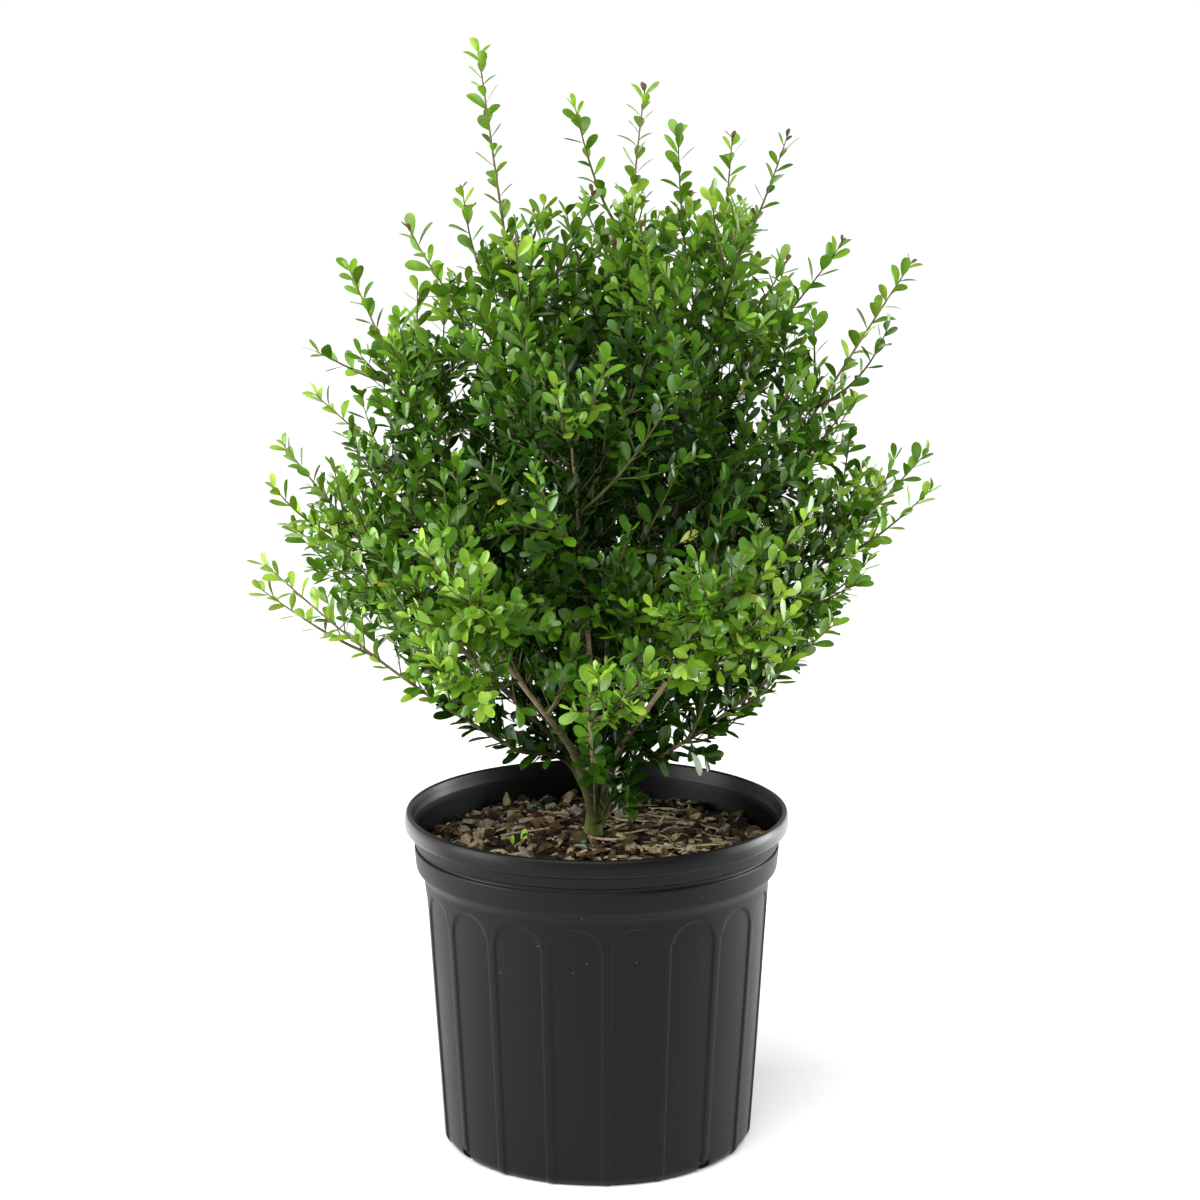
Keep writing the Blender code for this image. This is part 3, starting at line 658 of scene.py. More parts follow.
for number, (shade, kind) in enumerate(CHIPS.items()):
    chips = shards(kind, random_source("chips", number))
    finish = bark_finish(f"{shade} bark", kind.dark, kind.light)
    dress(mesh_piece(f"bark_chips_{shade}", chips, finish, smooth=False), "bark_mix")

# %% Shreds, beads and grit
Bits = namedtuple("Bits", "count sizes rows sides lift in_front")  # in_front is a share
BEADS = Bits(40, (0.0012, 0.0018), 4, 8, 0.0014, 0.8)
GRIT = Bits(70, (0.0004, 0.0009), 2, 5, 0.0018, 0.0)
BITS_REACH = 0.118
SHREDS, SHREDS_REACH, TO_THE_RIGHT = 110, 0.112, 0.7
SHRED_LENGTH, SHRED_RADIUS, SHRED_LIFT = (0.008, 0.042), (0.0004, 0.0014), (0.0022, 0.0046)
SHRED_TURN, SHRED_BEND = 0.7, 0.10


def shreds(draw, count):
    """Thin bent slivers of pale wood that lie on the chips, more of them on the right."""
    px, py = scattered(draw, count, SHREDS_REACH)
    px = np.where(draw.uniform(0, 1, count) < TO_THE_RIGHT, np.abs(px), px)
    length = draw.uniform(*SHRED_LENGTH, count)[:, None]
    yaw = draw.normal(0.0, SHRED_TURN, count)[:, None]
    share = np.linspace(-0.5, 0.5, 5)
    sag = draw.normal(0, SHRED_BEND, count)[:, None] * (1 - 4 * share**2) * length
    x = px[:, None] + np.cos(yaw) * share * length - np.sin(yaw) * sag
    y = py[:, None] + np.sin(yaw) * share * length + np.cos(yaw) * sag
    inside = np.minimum(1.0, CHIPS_REACH / np.hypot(x, y))
    x, y = x * inside, y * inside
    z = mix_height(x, y) + draw.uniform(*SHRED_LIFT, count)[:, None]
    radii = draw.uniform(*SHRED_RADIUS, count)[:, None] * (1 - (1.7 * np.abs(share)) ** 3)
    return tubes(np.stack([x, y, z], -1), radii, 4)


def round_bits(draw, kind):
    """Small balls: a ball's ring at angle a from its foot has radius sin a and height -cos a."""
    px, py = scattered(draw, kind.count, BITS_REACH)
    py = np.where(draw.uniform(0, 1, kind.count) < kind.in_front, -np.abs(py), py)
    size = draw.uniform(*kind.sizes, kind.count)
    a = np.linspace(0.0, np.pi, kind.rows + 2)[1:-1, None]
    turn = round_angles(kind.sides)
    rings = np.broadcast_arrays(np.sin(a) * np.cos(turn), np.sin(a) * np.sin(turn), -np.cos(a))
    ball = np.concatenate([np.stack(rings, -1).reshape(-1, 3), [-UP, UP]])
    centre = np.stack([px, py, mix_height(px, py) + kind.lift + size], -1)
    points = centre[:, None] + size[:, None, None] * ball
    return points.reshape(-1, 3), closed_faces(kind.rows, kind.sides, kind.count)


def tinted(name, scale, first, second, roughness):
    """A smooth finish whose colour drifts between two."""
    finish = Finish(name, Roughness=roughness)
    finish.tint(finish.noise(scale, detail=2.0), first, second)
    return finish.material


pale_wood = bark_finish("pale wood shreds", (0.230, 0.170, 0.095), (0.540, 0.450, 0.290))
feed = tinted("green feed beads", 300.0, (0.008, 0.140, 0.090), (0.030, 0.300, 0.180), 0.35)
grit = tinted("white grit", 500.0, (0.45, 0.43, 0.38), (0.8, 0.8, 0.76), 0.8)
dress(mesh_piece("wood_shreds", shreds(random_source("shreds"), SHREDS), pale_wood), "bark_mix")
dress(mesh_piece("feed_beads", round_bits(random_source("beads"), BEADS), feed), "bark_mix")
grit_shape = round_bits(random_source("grit"), GRIT)
dress(mesh_piece("white_grit", grit_shape, grit, smooth=False), "bark_mix")

# %% [markdown]
# ## The limbs
#
# The limbs follow the rule of the solids. A limb leaves the trunk at its tier's height, tilts as
# its tier says and runs for its own length. Its first part is wood, and the rest is the stem of
# its mass of foliage. The same names and numbers are written here again, so that the bark runs
# where the solids are.

# %% The rule of the limbs
GAP = 0.0003
GOLDEN_ANGLE = 137.508
TRUNK = [
    (-0.0030, MIX_CROWN + GAP, 0.0112), (-0.0030, MIX_CROWN + 0.0030, 0.0094),
    (-0.0026, MIX_CROWN + 0.0090, 0.0080), (-0.0014, 0.2480, 0.0074),
    (0.0008, 0.2610, 0.0078), (0.0026, 0.2740, 0.0072), (0.0030, 0.2850, 0.0048),
]
Tier = namedtuple("Tier", "fork tilts stub bough radius shoots")
TIERS = {
    "low": Tier(0.2580, (60, 60, 48), 0.026, 0.30, 0.0025, 6),
    "outer": Tier(0.2610, (38, 47, 43), 0.028, 0.34, 0.0036, 7),
    "upper": Tier(0.2690, (24, 28, 29), 0.034, 0.34, 0.0033, 7),
    "top": Tier(0.2760, (13, 8, 7), 0.040, 0.36, 0.0030, 8),
}
Limb = namedtuple("Limb", "tier azimuth length lean")
LIMB_TABLE = {
    "low": {
        "low_left": (196, 0.260, 0.96), "low_front": (268, 0.196, 1.02),
        "low_right": (338, 0.184, 0.93), "low_back": (93, 0.204, 1.00),
    },
    "outer": {
        "left": (174, 0.288, 1.00), "front_left": (236, 0.262, 1.00),
        "front_right": (299, 0.258, 1.00), "right": (3, 0.292, 1.00),
        "back_right": (60, 0.264, 1.00), "back_left": (122, 0.264, 1.00),
    },
    "upper": {
        "upper_left": (170, 0.362, 1.00), "upper_front": (262, 0.335, 0.96),
        "upper_right": (8, 0.388, 1.10), "upper_back": (92, 0.345, 0.98),
    },
    "top": {
        "top_left": (200, 0.486, 1.15), "top_back": (70, 0.435, 0.75),
        "top_right": (330, 0.425, 1.75),
    },
}
LIMBS = {name: Limb(tier, *row) for tier, rows in LIMB_TABLE.items() for name, row in rows.items()}
STUB_POINTS, BOUGH_POINTS, STEM_POINTS = 2, 4, 6
JOIN_HALF, TIP_SHARE, SLIMMING_POWER = 0.004, 0.36, 0.8
FINE_STEPS = 241
FORK = np.array([0.0010, 0.0, 0.2640])


def heading(azimuth, tilt):
    a, t = np.radians(azimuth), np.radians(tilt)
    return np.stack([np.sin(t) * np.cos(a), np.sin(t) * np.sin(a), np.cos(t)], axis=-1)


def trunk_axis(height):
    xs, zs, _ = np.array(TRUNK).T
    return np.array([np.interp(height, zs, xs), 0.0, height])


def bough_length(name):
    """The distance along a limb at which its bough ends and its mass's stem begins."""
    return TIERS[LIMBS[name].tier].bough * LIMBS[name].length


def limb_path(name):
    """(distances, points) of a limb's centre line in fine steps. The tilt goes evenly from the
    first of its tier's three at the fork, to the second where the bough ends, to the last."""
    limb = LIMBS[name]
    tier = TIERS[limb.tier]
    fine = np.linspace(0.0, limb.length, FINE_STEPS)
    middles = (fine[1:] + fine[:-1]) / 2
    tilts = limb.lean * np.interp(middles, [0.0, bough_length(name), limb.length], tier.tilts)
    steps = heading(limb.azimuth, tilts) * (fine[1] - fine[0])
    return fine, trunk_axis(tier.fork) + np.vstack([np.zeros(3), np.cumsum(steps, axis=0)])


def limb_radius(name, distance):
    limb = LIMBS[name]
    slimmer = (1 - TIP_SHARE) * (distance / limb.length) ** SLIMMING_POWER
    return TIERS[limb.tier].radius * (1 - slimmer)


def limb_knots(name):
    """(points, radii, bough) of the solid's own knots, and the section where its bough ends."""
    fine, path = limb_path(name)
    stub, end = TIERS[LIMBS[name].tier].stub, bough_length(name)
    knots = np.concatenate([
        np.linspace(0.0, stub - JOIN_HALF, STUB_POINTS),
        np.linspace(stub + JOIN_HALF, end - JOIN_HALF, BOUGH_POINTS),
        np.linspace(end + JOIN_HALF, fine[-1], STEM_POINTS),
    ])
    return along_path(fine, path, knots), limb_radius(name, knots), STUB_POINTS + BOUGH_POINTS - 1


print("limbs:", len(LIMBS))

# %% [markdown]
# The bark is a tube whose radius is pushed in and out. Long low ridges run up it, and rings stand
# out where leaves once grew. The limbs' feet run a little way down into the trunk, and the main
# ones swell there, so that they part in a V as grown wood does. A low limb on the left and one on
# the right spring from the foot of the limb beside them. Near the mix, damp keeps the bark green.
# Below the crown, up to about 0.3 m, the bark is painted darker as painted shade.

# %% Trunk and boughs
WOOD_RING, TRUNK_RING, TRUNK_SIDES, BOUGH_SIDES = 0.0016, 0.00128, 28, 14
RIDGES = ((0.040, 3, 60), (0.030, 5, -90), (0.026, 8, 140))  # height, times round, drift
RING_HEIGHT, RING_SPACING, RING_CREST, RING_SINK = 0.060, 0.0125, 0.55, 0.033
LUMP_HEIGHT = 0.05
COLLAR, COLLAR_LENGTH = 0.0007, 0.0100
LIMB_SLENDER = 0.74
INTO_STEM = 0.004  # how far the bark runs on where the stem begins
FORK_DROP, DROP_LENGTH = 0.021, 0.052  # how far down the trunk the limbs' feet run, and over what
TRUNK_TOP = 0.2620
TRUNK_SLENDER = ([0.2270, 0.2330, 0.2440, 0.2620], [0.66, 0.74, 0.80, 0.40])
THICK_FEET = {"front_left": 0.0036, "right": 0.0026, "front_right": 0.0010, "top_left": 0.0008}
THICK_LENGTH = 0.042
SPRUNG_FROM = {"low_left": "left", "low_right": "right"}  # a low limb, and the one beside it
SPRUNG_AT, SPRUNG_LENGTH = 0.020, 0.072


def wood_path(name, distances):
    """The limb's points at these distances. Near the trunk they drop by (1 - d/length)^2, and a
    low limb keeps to the foot of the one it sprang from by a smooth share."""
    path = along_path(*limb_path(name), distances)
    if name in SPRUNG_FROM:
        host = along_path(*limb_path(SPRUNG_FROM[name]), distances)
        share = (SPRUNG_LENGTH - distances) / (SPRUNG_LENGTH - SPRUNG_AT)
        path = path + eased(np.clip(share, 0.0, 1.0))[:, None] * (host - path)
    path[:, 2] -= FORK_DROP * np.clip(1 - distances / DROP_LENGTH, 0.0, 1.0) ** 2
    return path


def wood_tube(path, radii, draw, sides):
    """The shape of one limb. At angle a and distance s its radius is multiplied by
    1 + ridges + rings + lumps: the ridges are sines that drift slowly with s."""
    s, a = distances_along(path)[:, None], round_angles(sides)[None]
    phase = draw.uniform(0, 2 * np.pi, 6)
    ridges = sum(height * np.sin(times * a + drift * s + start)
                 for (height, times, drift), start in zip(RIDGES, phase))
    crest = np.clip(np.sin(2 * np.pi * s / RING_SPACING + phase[3]), RING_CREST, 1)
    rings = RING_HEIGHT * crest - RING_SINK
    lumps = LUMP_HEIGHT * np.sin(2 * a + 210 * s + phase[4]) * np.sin(330 * s + phase[5])
    points, face_sets = tubes(path[None], radii[None], sides)
    centre = path[:, None]
    grown = (1 + ridges + rings + lumps)[..., None]
    points = centre + (points.reshape(len(path), sides, 3) - centre) * grown
    return points.reshape(-1, 3), face_sets


def trunk_and_boughs():
    xs, zs, sizes = np.array(TRUNK).T
    height = np.arange(zs[0], TRUNK_TOP, TRUNK_RING)
    path = np.stack([np.interp(height, zs, xs), 0 * height, height], axis=-1)
    radii = np.interp(height, zs, sizes) * np.interp(height, *TRUNK_SLENDER)
    parts = [wood_tube(path, radii, random_source("wood"), TRUNK_SIDES)]
    for number, name in enumerate(LIMBS, start=1):
        distance = np.arange(0.0, bough_length(name) + INTO_STEM, WOOD_RING)
        radii = LIMB_SLENDER * limb_radius(name, distance)
        radii += COLLAR * np.exp(-distance / COLLAR_LENGTH)
        radii += THICK_FEET.get(name, 0.0) * np.exp(-((distance / THICK_LENGTH) ** 2))
        draw = random_source("wood", number)
        parts.append(wood_tube(wood_path(name, distance), radii, draw, BOUGH_SIDES))
    return joined(parts)


BARK_BROWNS = (0.085, 0.075, 0.032), (0.200, 0.180, 0.085)
LICHEN, PAINTED_SHADE_BARK, DAMP_BARK = (0.300, 0.290, 0.150), (0.034, 0.034, 0.012), (0.120, 0.150, 0.026)
PAINTED_SHADE_HEIGHTS, DAMP_HEIGHTS = (0.300, 0.375), (0.242, 0.256)  # whole below, and gone above

bark = Finish("grey-brown bark", Roughness=0.82, Specular_IOR_Level=0.2)
patch = bark.noise(70.0, detail=5.0, roughness=0.6)
lichen = bark.noise(210.0, detail=3.0).between(0.56, 0.70)
height = bark.axis(2)
brown = bark.mix(patch.between(0.35, 0.65), *BARK_BROWNS)
pale = bark.mix(lichen * 0.55, brown, LICHEN)
# Painted shade: the bark is darker below the crown, fully below the first height and gone above the
# second.
painted_shade = (1 - (height + patch * 0.030).between(*PAINTED_SHADE_HEIGHTS)) * 0.80
damp = (1 - (height + patch * 0.020).between(*DAMP_HEIGHTS)) * 0.80
bark.tint(damp, bark.mix(painted_shade, pale, PAINTED_SHADE_BARK), DAMP_BARK)
bark.bump(bark.noise(1300.0, detail=4.0), distance=0.00025)
wood = mesh_piece("trunk_and_boughs", trunk_and_boughs(), bark.material)
dress(wood, "bark", "trunk", *["bough_" + name for name in LIMBS])

# %% [markdown]
# ## How the shoots grow
#
# Each mass grows on from the end of its bough. Side shoots leave its stem a golden angle apart, so
# that none shades the one below, and bend upwards to the light. The rule and its seeds are those
# of the solids, so these shoots lie in the same places. There, one wide leaf stood for a whole
# spray. Here each shoot runs on for the length of that leaf, and carries the sprays themselves.

# %% The masses' spaces
LOWEST_LEAF, SPACE_MARGIN, LIMB_CLEARANCE = 0.2620, 0.0016, 0.0040
LIMB_SAMPLES, OWN_LIMB_LEFT_OUT = 6, 8
SHOOT_ANGLE, SHOOT_LIFT, SHOOT_SHARE = 42, 0.55, 0.62
SHOOTS_FROM, SHOOTS_TO = 0.04, 0.84
SHOOT_TRIMS = (1.0, 0.84, 0.7, 0.58, 0.46, 0.36)
SHORT_OF_REACH = 0.040
SOLID_SHOOT_SECTIONS, SOLID_TWIG_RADIUS = 2, 0.0019
CROWN_TILTS = (0, 9, 16, 24, 31, 38, 45, 52, 58, 64, 70)
CROWN_REACH = [  # towards the right, the back, the left and the front
    (0.485, 0.475, 0.485, 0.445, 0.430, 0.360, 0.340, 0.265, 0.200, 0.110, 0.050),
    (0.485, 0.460, 0.450, 0.425, 0.395, 0.360, 0.330, 0.300, 0.270, 0.220, 0.100),
    (0.485, 0.460, 0.440, 0.425, 0.390, 0.355, 0.335, 0.310, 0.285, 0.100, 0.050),
    (0.485, 0.460, 0.440, 0.415, 0.385, 0.350, 0.325, 0.295, 0.270, 0.240, 0.200),
]


def by_side(x, y, at, stations, curves):
    """The four sides' curves, each read at `at`, and mixed by the direction of x and y."""
    quarter = np.degrees(np.arctan2(y, x)) / 90 % 4
    values = np.array([np.interp(at, stations, curve) for curve in curves])
    first = quarter.astype(int) % 4
    share = quarter - quarter.astype(int)
    each = np.arange(len(x))
    return values[first, each] * (1 - share) + values[(first + 1) % 4, each] * share


def reach(points):
    """How far the crown reaches from FORK in the directions of the points."""
    x, y, z = (points - FORK).T
    return by_side(x, y, np.degrees(np.arctan2(np.hypot(x, y), z)), CROWN_TILTS, CROWN_REACH)


class Space:
    """The cone of all that lies nearer one mass's direction from the fork than any other's,
    within the crown's reach and clear of the limbs."""

    def __init__(self, own, others, limb_points, limb_radii):
        self.normals = unit(others - own)
        self.limb_points, self.limb_radii = limb_points, limb_radii

    def holds(self, points, short_of, radius=0.0, margin=SPACE_MARGIN, clearance=LIMB_CLEARANCE):
        inside = (points - FORK) @ self.normals.T + radius <= -margin
        far = np.linalg.norm(points - FORK, axis=1) > reach(points) - short_of
        gaps = np.linalg.norm(points[:, None] - self.limb_points, axis=2) - self.limb_radii
        above = points[:, 2].min() - radius > LOWEST_LEAF
        clear = gaps.min() > radius + clearance
        return bool(inside.all() and not far.any() and above and clear)


def limb_samples(knots, own):
    """(points, radii) spread over every limb's wood, without the end of a mass's own bough."""
    points, radii = [], []
    for name, (line, sizes, bough) in knots.items():
        fine = np.linspace(0, bough + 1, (bough + 1) * LIMB_SAMPLES + 1)
        if name == own:
            fine = fine[:-OWN_LIMB_LEFT_OUT]
        points.append(along_path(np.arange(len(line)), line, fine))
        radii.append(np.interp(fine, np.arange(len(line)), sizes))
    return np.concatenate(points), np.concatenate(radii)


# %% Shoots by the solids' rule
TURNS_START = (0.31, -0.95, 0.05)  # no limb runs this way, so it can be crossed with any of them


def bent_line(start, direction, length, lift, sections, run_on=0.0):
    """A line that leaves along the direction and bends evenly towards the vertical. It runs on
    past its length by the same bend."""
    share = np.linspace(0.0, 1.0 + run_on / length, sections)[:, None]
    steps = unit(direction + lift * share * UP) * (length + run_on) / sections
    return start + np.vstack([np.zeros(3), np.cumsum(steps, axis=0)])


def point_at(line, share):
    """(point, tangent) at a share of a line's length."""
    ends = distances_along(line)
    along = share * ends[-1]
    section = min(int(np.searchsorted(ends, along, side="right")), len(ends) - 1) - 1
    step = line[section + 1] - line[section]
    tangent = step / np.linalg.norm(step)
    return line[section] + tangent * (along - ends[section]), tangent


def off_axis(tangent, turn, angle):
    """The direction at an angle from the tangent, turned round it by another. Arrays of angles
    give arrays of directions."""
    side = unit(np.cross(tangent, TURNS_START))
    other = np.cross(tangent, side)
    turn, angle = np.radians(turn)[..., None], np.radians(angle)[..., None]
    return np.cos(angle) * tangent + np.sin(angle) * (np.cos(turn) * side + np.sin(turn) * other)


RUN_ON = 0.036  # how far a shoot here passes the end of the solid's
SHOOT_BASE, SHOOT_TIP, STEM_BASE, STEM_TIP = 0.0013, 0.0004, 0.0017, 0.0005
SHOOT_ANGLES, SHOOT_LENGTHS, SHORTER_UPWARDS = (-6.0, 8.0), (0.9, 1.1), 0.55
AXIS_SECTIONS = 12
SHARES_HELD = np.linspace(0.25, 1.0, 8)  # where a shoot has to lie within its space
Axis = namedtuple("Axis", "mass line base tip")


def grow_shoots(name, stem, space, draw):
    """The stem's side shoots, each at the length that the solid's rule found room for."""
    count = TIERS[LIMBS[name].tier].shoots
    stem_length = distances_along(stem)[-1]
    first_turn = draw.uniform(0.0, 360.0)
    shoots = []
    for k in range(count):
        share = SHOOTS_FROM + (SHOOTS_TO - SHOOTS_FROM) * k / (count - 1)
        start, tangent = point_at(stem, share)
        angle = SHOOT_ANGLE + draw.uniform(*SHOOT_ANGLES)
        direction = off_axis(tangent, first_turn + k * GOLDEN_ANGLE, angle)
        length = stem_length * SHOOT_SHARE * (1 - SHORTER_UPWARDS * share)
        length *= draw.uniform(*SHOOT_LENGTHS)
        for trim in SHOOT_TRIMS:
            line = bent_line(start, direction, length * trim, SHOOT_LIFT, SOLID_SHOOT_SECTIONS)
            inner = [point_at(line, s)[0] for s in SHARES_HELD]
            if space.holds(np.array(inner), SHORT_OF_REACH, SOLID_TWIG_RADIUS):
                line = bent_line(start, direction, length * trim, SHOOT_LIFT, AXIS_SECTIONS,
                                 RUN_ON)
                shoots.append(Axis(name, line, SHOOT_BASE, SHOOT_TIP))
                break
    return shoots


def stem_line(name):
    """The stem of a mass: the limb's path past its bough's end, run on straight at its tip."""
    fine, path = limb_path(name)
    line = along_path(fine, path, np.linspace(bough_length(name), fine[-1], AXIS_SECTIONS))
    onward = unit(path[-1] - path[-6]) * RUN_ON * np.array([[0.5], [1.0]])
    return np.vstack([line, line[-1] + onward])


knots = {name: limb_knots(name) for name in LIMBS}
directions = {name: unit(line[-4] - FORK) for name, (line, _, _) in knots.items()}
axes, spaces = [], {}
for number, (name, (line, _, bough)) in enumerate(knots.items()):
    others = np.array([directions[other] for other in LIMBS if other != name])
    spaces[name] = Space(directions[name], others, *limb_samples(knots, name))
    step = line[bough + 1] - line[bough]
    cut_at = line[bough] + step / 2 + unit(step) * GAP / 2
    stem = np.vstack([cut_at, line[bough + 1 :]])
    axes.append(Axis(name, stem_line(name), limb_radius(name, bough_length(name)), STEM_TIP))
    for kind in ("solid_shoots", "finer_shoots"):
        draw = random_source(kind, number)
        if kind == "solid_shoots":
            draw.uniform(0.0, 360.0)  # the solids' rule turns the stem's own leaves by this one
        axes += grow_shoots(name, stem, spaces[name], draw)
print(f"{len(axes)} stems and shoots")

# %% [markdown]
# Some shoots outgrow the rest. Seen from the front they stand out of the crown one by one, so
# their tips are given as places on the upright plane through the pot's centre. The nearest shoot
# bends towards each place, the more the closer to its tip. The rest stay inside the outline, and
# above the underside, where the shade has killed the leaves and the bare limbs show.

# %% Tips that stand out
OUTLINE_TIPS = [
    (-0.082, 0.793), (-0.015, 0.755), (0.034, 0.767), (0.057, 0.735), (0.095, 0.733),
    (0.133, 0.733), (0.173, 0.660), (0.222, 0.646), (0.206, 0.600), (0.182, 0.548),
    (0.234, 0.509), (0.238, 0.483), (0.196, 0.433), (0.171, 0.385), (0.108, 0.325),
    (-0.094, 0.698), (-0.132, 0.670), (-0.174, 0.641), (-0.199, 0.583), (-0.200, 0.552),
    (-0.223, 0.516), (-0.230, 0.485), (-0.238, 0.429), (-0.241, 0.411),
]
TIP_PULL = 0.050
PAST_OUTLINE, BELOW_UNDERSIDE, LEAST_KEPT = 0.012, 0.004, 3  # the last is a third of the line
FRONT_TILTS = np.arange(-72, 73, 6)
FRONT_REACH = (0.05, 0.06, 0.12, 0.24, 0.29, 0.30, 0.29, 0.345, 0.36, 0.385, 0.415, 0.41,
               0.42, 0.42, 0.43, 0.40, 0.365, 0.33, 0.305, 0.315, 0.26, 0.19, 0.13, 0.10, 0.08)
FROM_TRUNK = np.arange(7) * 0.04
UNDERSIDE = [  # the lowest leaves, at these distances towards the right, back, left and front
    (0.280, 0.280, 0.292, 0.330, 0.364, 0.420, 0.480),
    (0.272, 0.264, 0.262, 0.262, 0.270, 0.295, 0.330),
    (0.280, 0.288, 0.300, 0.320, 0.345, 0.368, 0.405),
    (0.290, 0.352, 0.360, 0.360, 0.352, 0.366, 0.390),
]


def seen_from_front(points):
    """Where lines from the eye through the points meet the upright plane through the pot's
    centre."""
    eye = np.array(CAMERA_PLACE)
    return eye + (points - eye) * (-eye[1] / (points[:, 1] - eye[1]))[:, None]


def past_front(points):
    """How far the points lie outside the crown's outline as seen from the front."""
    x, _, z = (seen_from_front(points) - FORK).T
    return np.hypot(x, z) - np.interp(np.degrees(np.arctan2(x, z)), FRONT_TILTS, FRONT_REACH)


def above_underside(points):
    """Height above the lowest leaves."""
    x, y = points[:, 0] - FORK[0], points[:, 1]
    return points[:, 2] - by_side(x, y, np.hypot(x, y), FROM_TRUNK, UNDERSIDE)


def cut_back(axis):
    """The axis as far as it stays inside the outline, or nothing if that is less than a third."""
    outside = past_front(axis.line) > PAST_OUTLINE
    if axis.base <= STEM_BASE:
        outside |= above_underside(axis.line) < -BELOW_UNDERSIDE
    inside = int(np.argmax(outside)) if outside.any() else len(axis.line)
    return axis._replace(line=axis.line[:inside]) if inside > len(axis.line) // LEAST_KEPT else None


def pull_tips(axes, tips):
    """Each point of the nearest shoot's line moves by share^2 * offset. The other shoots are cut
    back to the outline."""
    ends = np.array([axis.line[-1] for axis in axes])
    seen = seen_from_front(ends)
    taken = np.zeros(len(axes))
    for x, z in tips:
        offsets = np.stack([x - seen[:, 0], 0 * seen[:, 0], z - seen[:, 2]], axis=1)
        gaps = np.linalg.norm(offsets, axis=1) + taken
        nearest = int(np.argmin(gaps))
        if gaps[nearest] < TIP_PULL:
            taken[nearest] = 1.0
            line = axes[nearest].line
            share = np.linspace(0.0, 1.0, len(line))[:, None]
            axes[nearest] = axes[nearest]._replace(line=line + share**2 * offsets[nearest])
    for number in np.flatnonzero(taken == 0):
        axes[number] = cut_back(axes[number])
    return [axis for axis in axes if axis], int(taken.sum())


axes, placed = pull_tips(axes, OUTLINE_TIPS)
print(f"{placed} of {len(OUTLINE_TIPS)} tips placed, {len(axes)} stems and shoots kept")

# %% [markdown]
# ## Sprays
#
# A spray is a short twig with its leaves. Sprays leave each shoot a golden angle apart and get
# shorter towards its tip, which gives the feathery spires at the top of the shrub. A spray that
# would leave its mass's space is tried shorter, and then left out.

# %% Sprays along every axis
# start is the share of the wood below the first spray. margin is how far inside its mass's space
# a spray stays, or below 0, how far outside it may come. onward is how far the wood goes on past
# the line's end, where that end is not the tip.
Growth = namedtuple("Growth", "spacing start margin onward", defaults=[None])
CROWN_SPRAYS, BACK_SPRAYS = Growth(0.0066, 0.05, -0.020), Growth(0.0060, 0.05, -0.034)
BOUGH_SPRAYS = Growth(0.0075, 0.45, -0.020, 0.060)
BEHIND_SPRAYS = Growth(0.0040, 0.14, -0.045, 0.080)
BOUGH_KNOTS = 8
# Closer sprays at the back and behind the fork fill what shows between those in front.
BACK_MASSES = ("back_left", "back_right", "low_back", "upper_back", "upper_left")
BEHIND_THE_FORK = (*BACK_MASSES, "low_left", "left")
BARE_STEMS = {"low_front": 0.40, "front_left": 0.40, "front_right": 0.26}
BARE_BOUGHS = ("low_front", "front_left", "front_right", "upper_front")
SHORT_OF_TIPS = {"low": 0.012, "outer": 0.018, "upper": 0.024, "top": 0.034}
SPRAY_ANGLE, SPRAY_LIFT = 46, 0.45
LONGEST_SPRAY, SHORTEST_SPRAY = 0.070, 0.012
SPRAY_SHARES = (1.0, 0.55, 0.75, 0.42)  # one long spray, then three shorter ones
SPRAY_PER_REST = 0.66  # a spray's length, as a share of what is left of its shoot above it
LEADER_REST = {"low": 0.034, "outer": 0.042, "upper": 0.052, "top": 0.062}  # leaves alone
SPRAY_TRIMS = (1.0, 0.75, 0.5)
SPRAY_TURNS, SPRAY_ANGLES, SPRAY_LENGTHS, SPRAY_GAPS = 14.0, 9.0, (0.85, 1.15), (0.8, 1.2)
SPRAY_CLEARANCE, SPRAY_SECTIONS = 0.002, 4
SPRAY_TWIG_BASE, SPRAY_TWIG_TIP = 0.00065, 0.00035
RAGGED = (-0.012, 0.012)  # how far past the outline a spray may end
HOLLOW, HOLLOW_REACH = np.array([0.020, -0.175, 0.500]), 0.062  # open to the dark inside


def grow_sprays(axis, draw, growth, start_share):
    """Sprays along an axis, a golden angle apart, shorter towards its tip."""
    tier = LIMBS[axis.mass].tier
    bare_tip = LEADER_REST[tier] if growth.onward is None else 0.0
    length = distances_along(axis.line)[-1]
    turn = draw.uniform(0.0, 360.0)
    sprays = []
    distance = start_share * length + draw.uniform(0.0, growth.spacing)
    number = draw.integers(0, len(SPRAY_SHARES))
    while distance < length - bare_tip:
        start, tangent = point_at(axis.line, distance / length)
        turn += GOLDEN_ANGLE + draw.uniform(-SPRAY_TURNS, SPRAY_TURNS)
        angle = SPRAY_ANGLE + draw.uniform(-SPRAY_ANGLES, SPRAY_ANGLES)
        direction = off_axis(tangent, turn, angle)
        rest = length + (growth.onward or 0.0) - distance
        most = np.clip(rest * SPRAY_PER_REST, SHORTEST_SPRAY, LONGEST_SPRAY)
        number += 1
        most = max(most * SPRAY_SHARES[number % len(SPRAY_SHARES)], SHORTEST_SPRAY)
        most *= draw.uniform(*SPRAY_LENGTHS)
        for trim in SPRAY_TRIMS:
            line = bent_line(start, direction, most * trim, SPRAY_LIFT, SPRAY_SECTIONS)
            inside = past_front(line[-1:])[0] < draw.uniform(*RAGGED)
            inside = inside and above_underside(line[1:]).min() > 0.0
            inside = inside and np.linalg.norm(line[-1] - HOLLOW) > HOLLOW_REACH
            if inside and spaces[axis.mass].holds(line[2:], SHORT_OF_TIPS[tier],
                                                  margin=growth.margin, clearance=SPRAY_CLEARANCE):
                sprays.append(Axis(axis.mass, line, SPRAY_TWIG_BASE, SPRAY_TWIG_TIP))
                break
        distance += growth.spacing * draw.uniform(*SPRAY_GAPS)
    return sprays


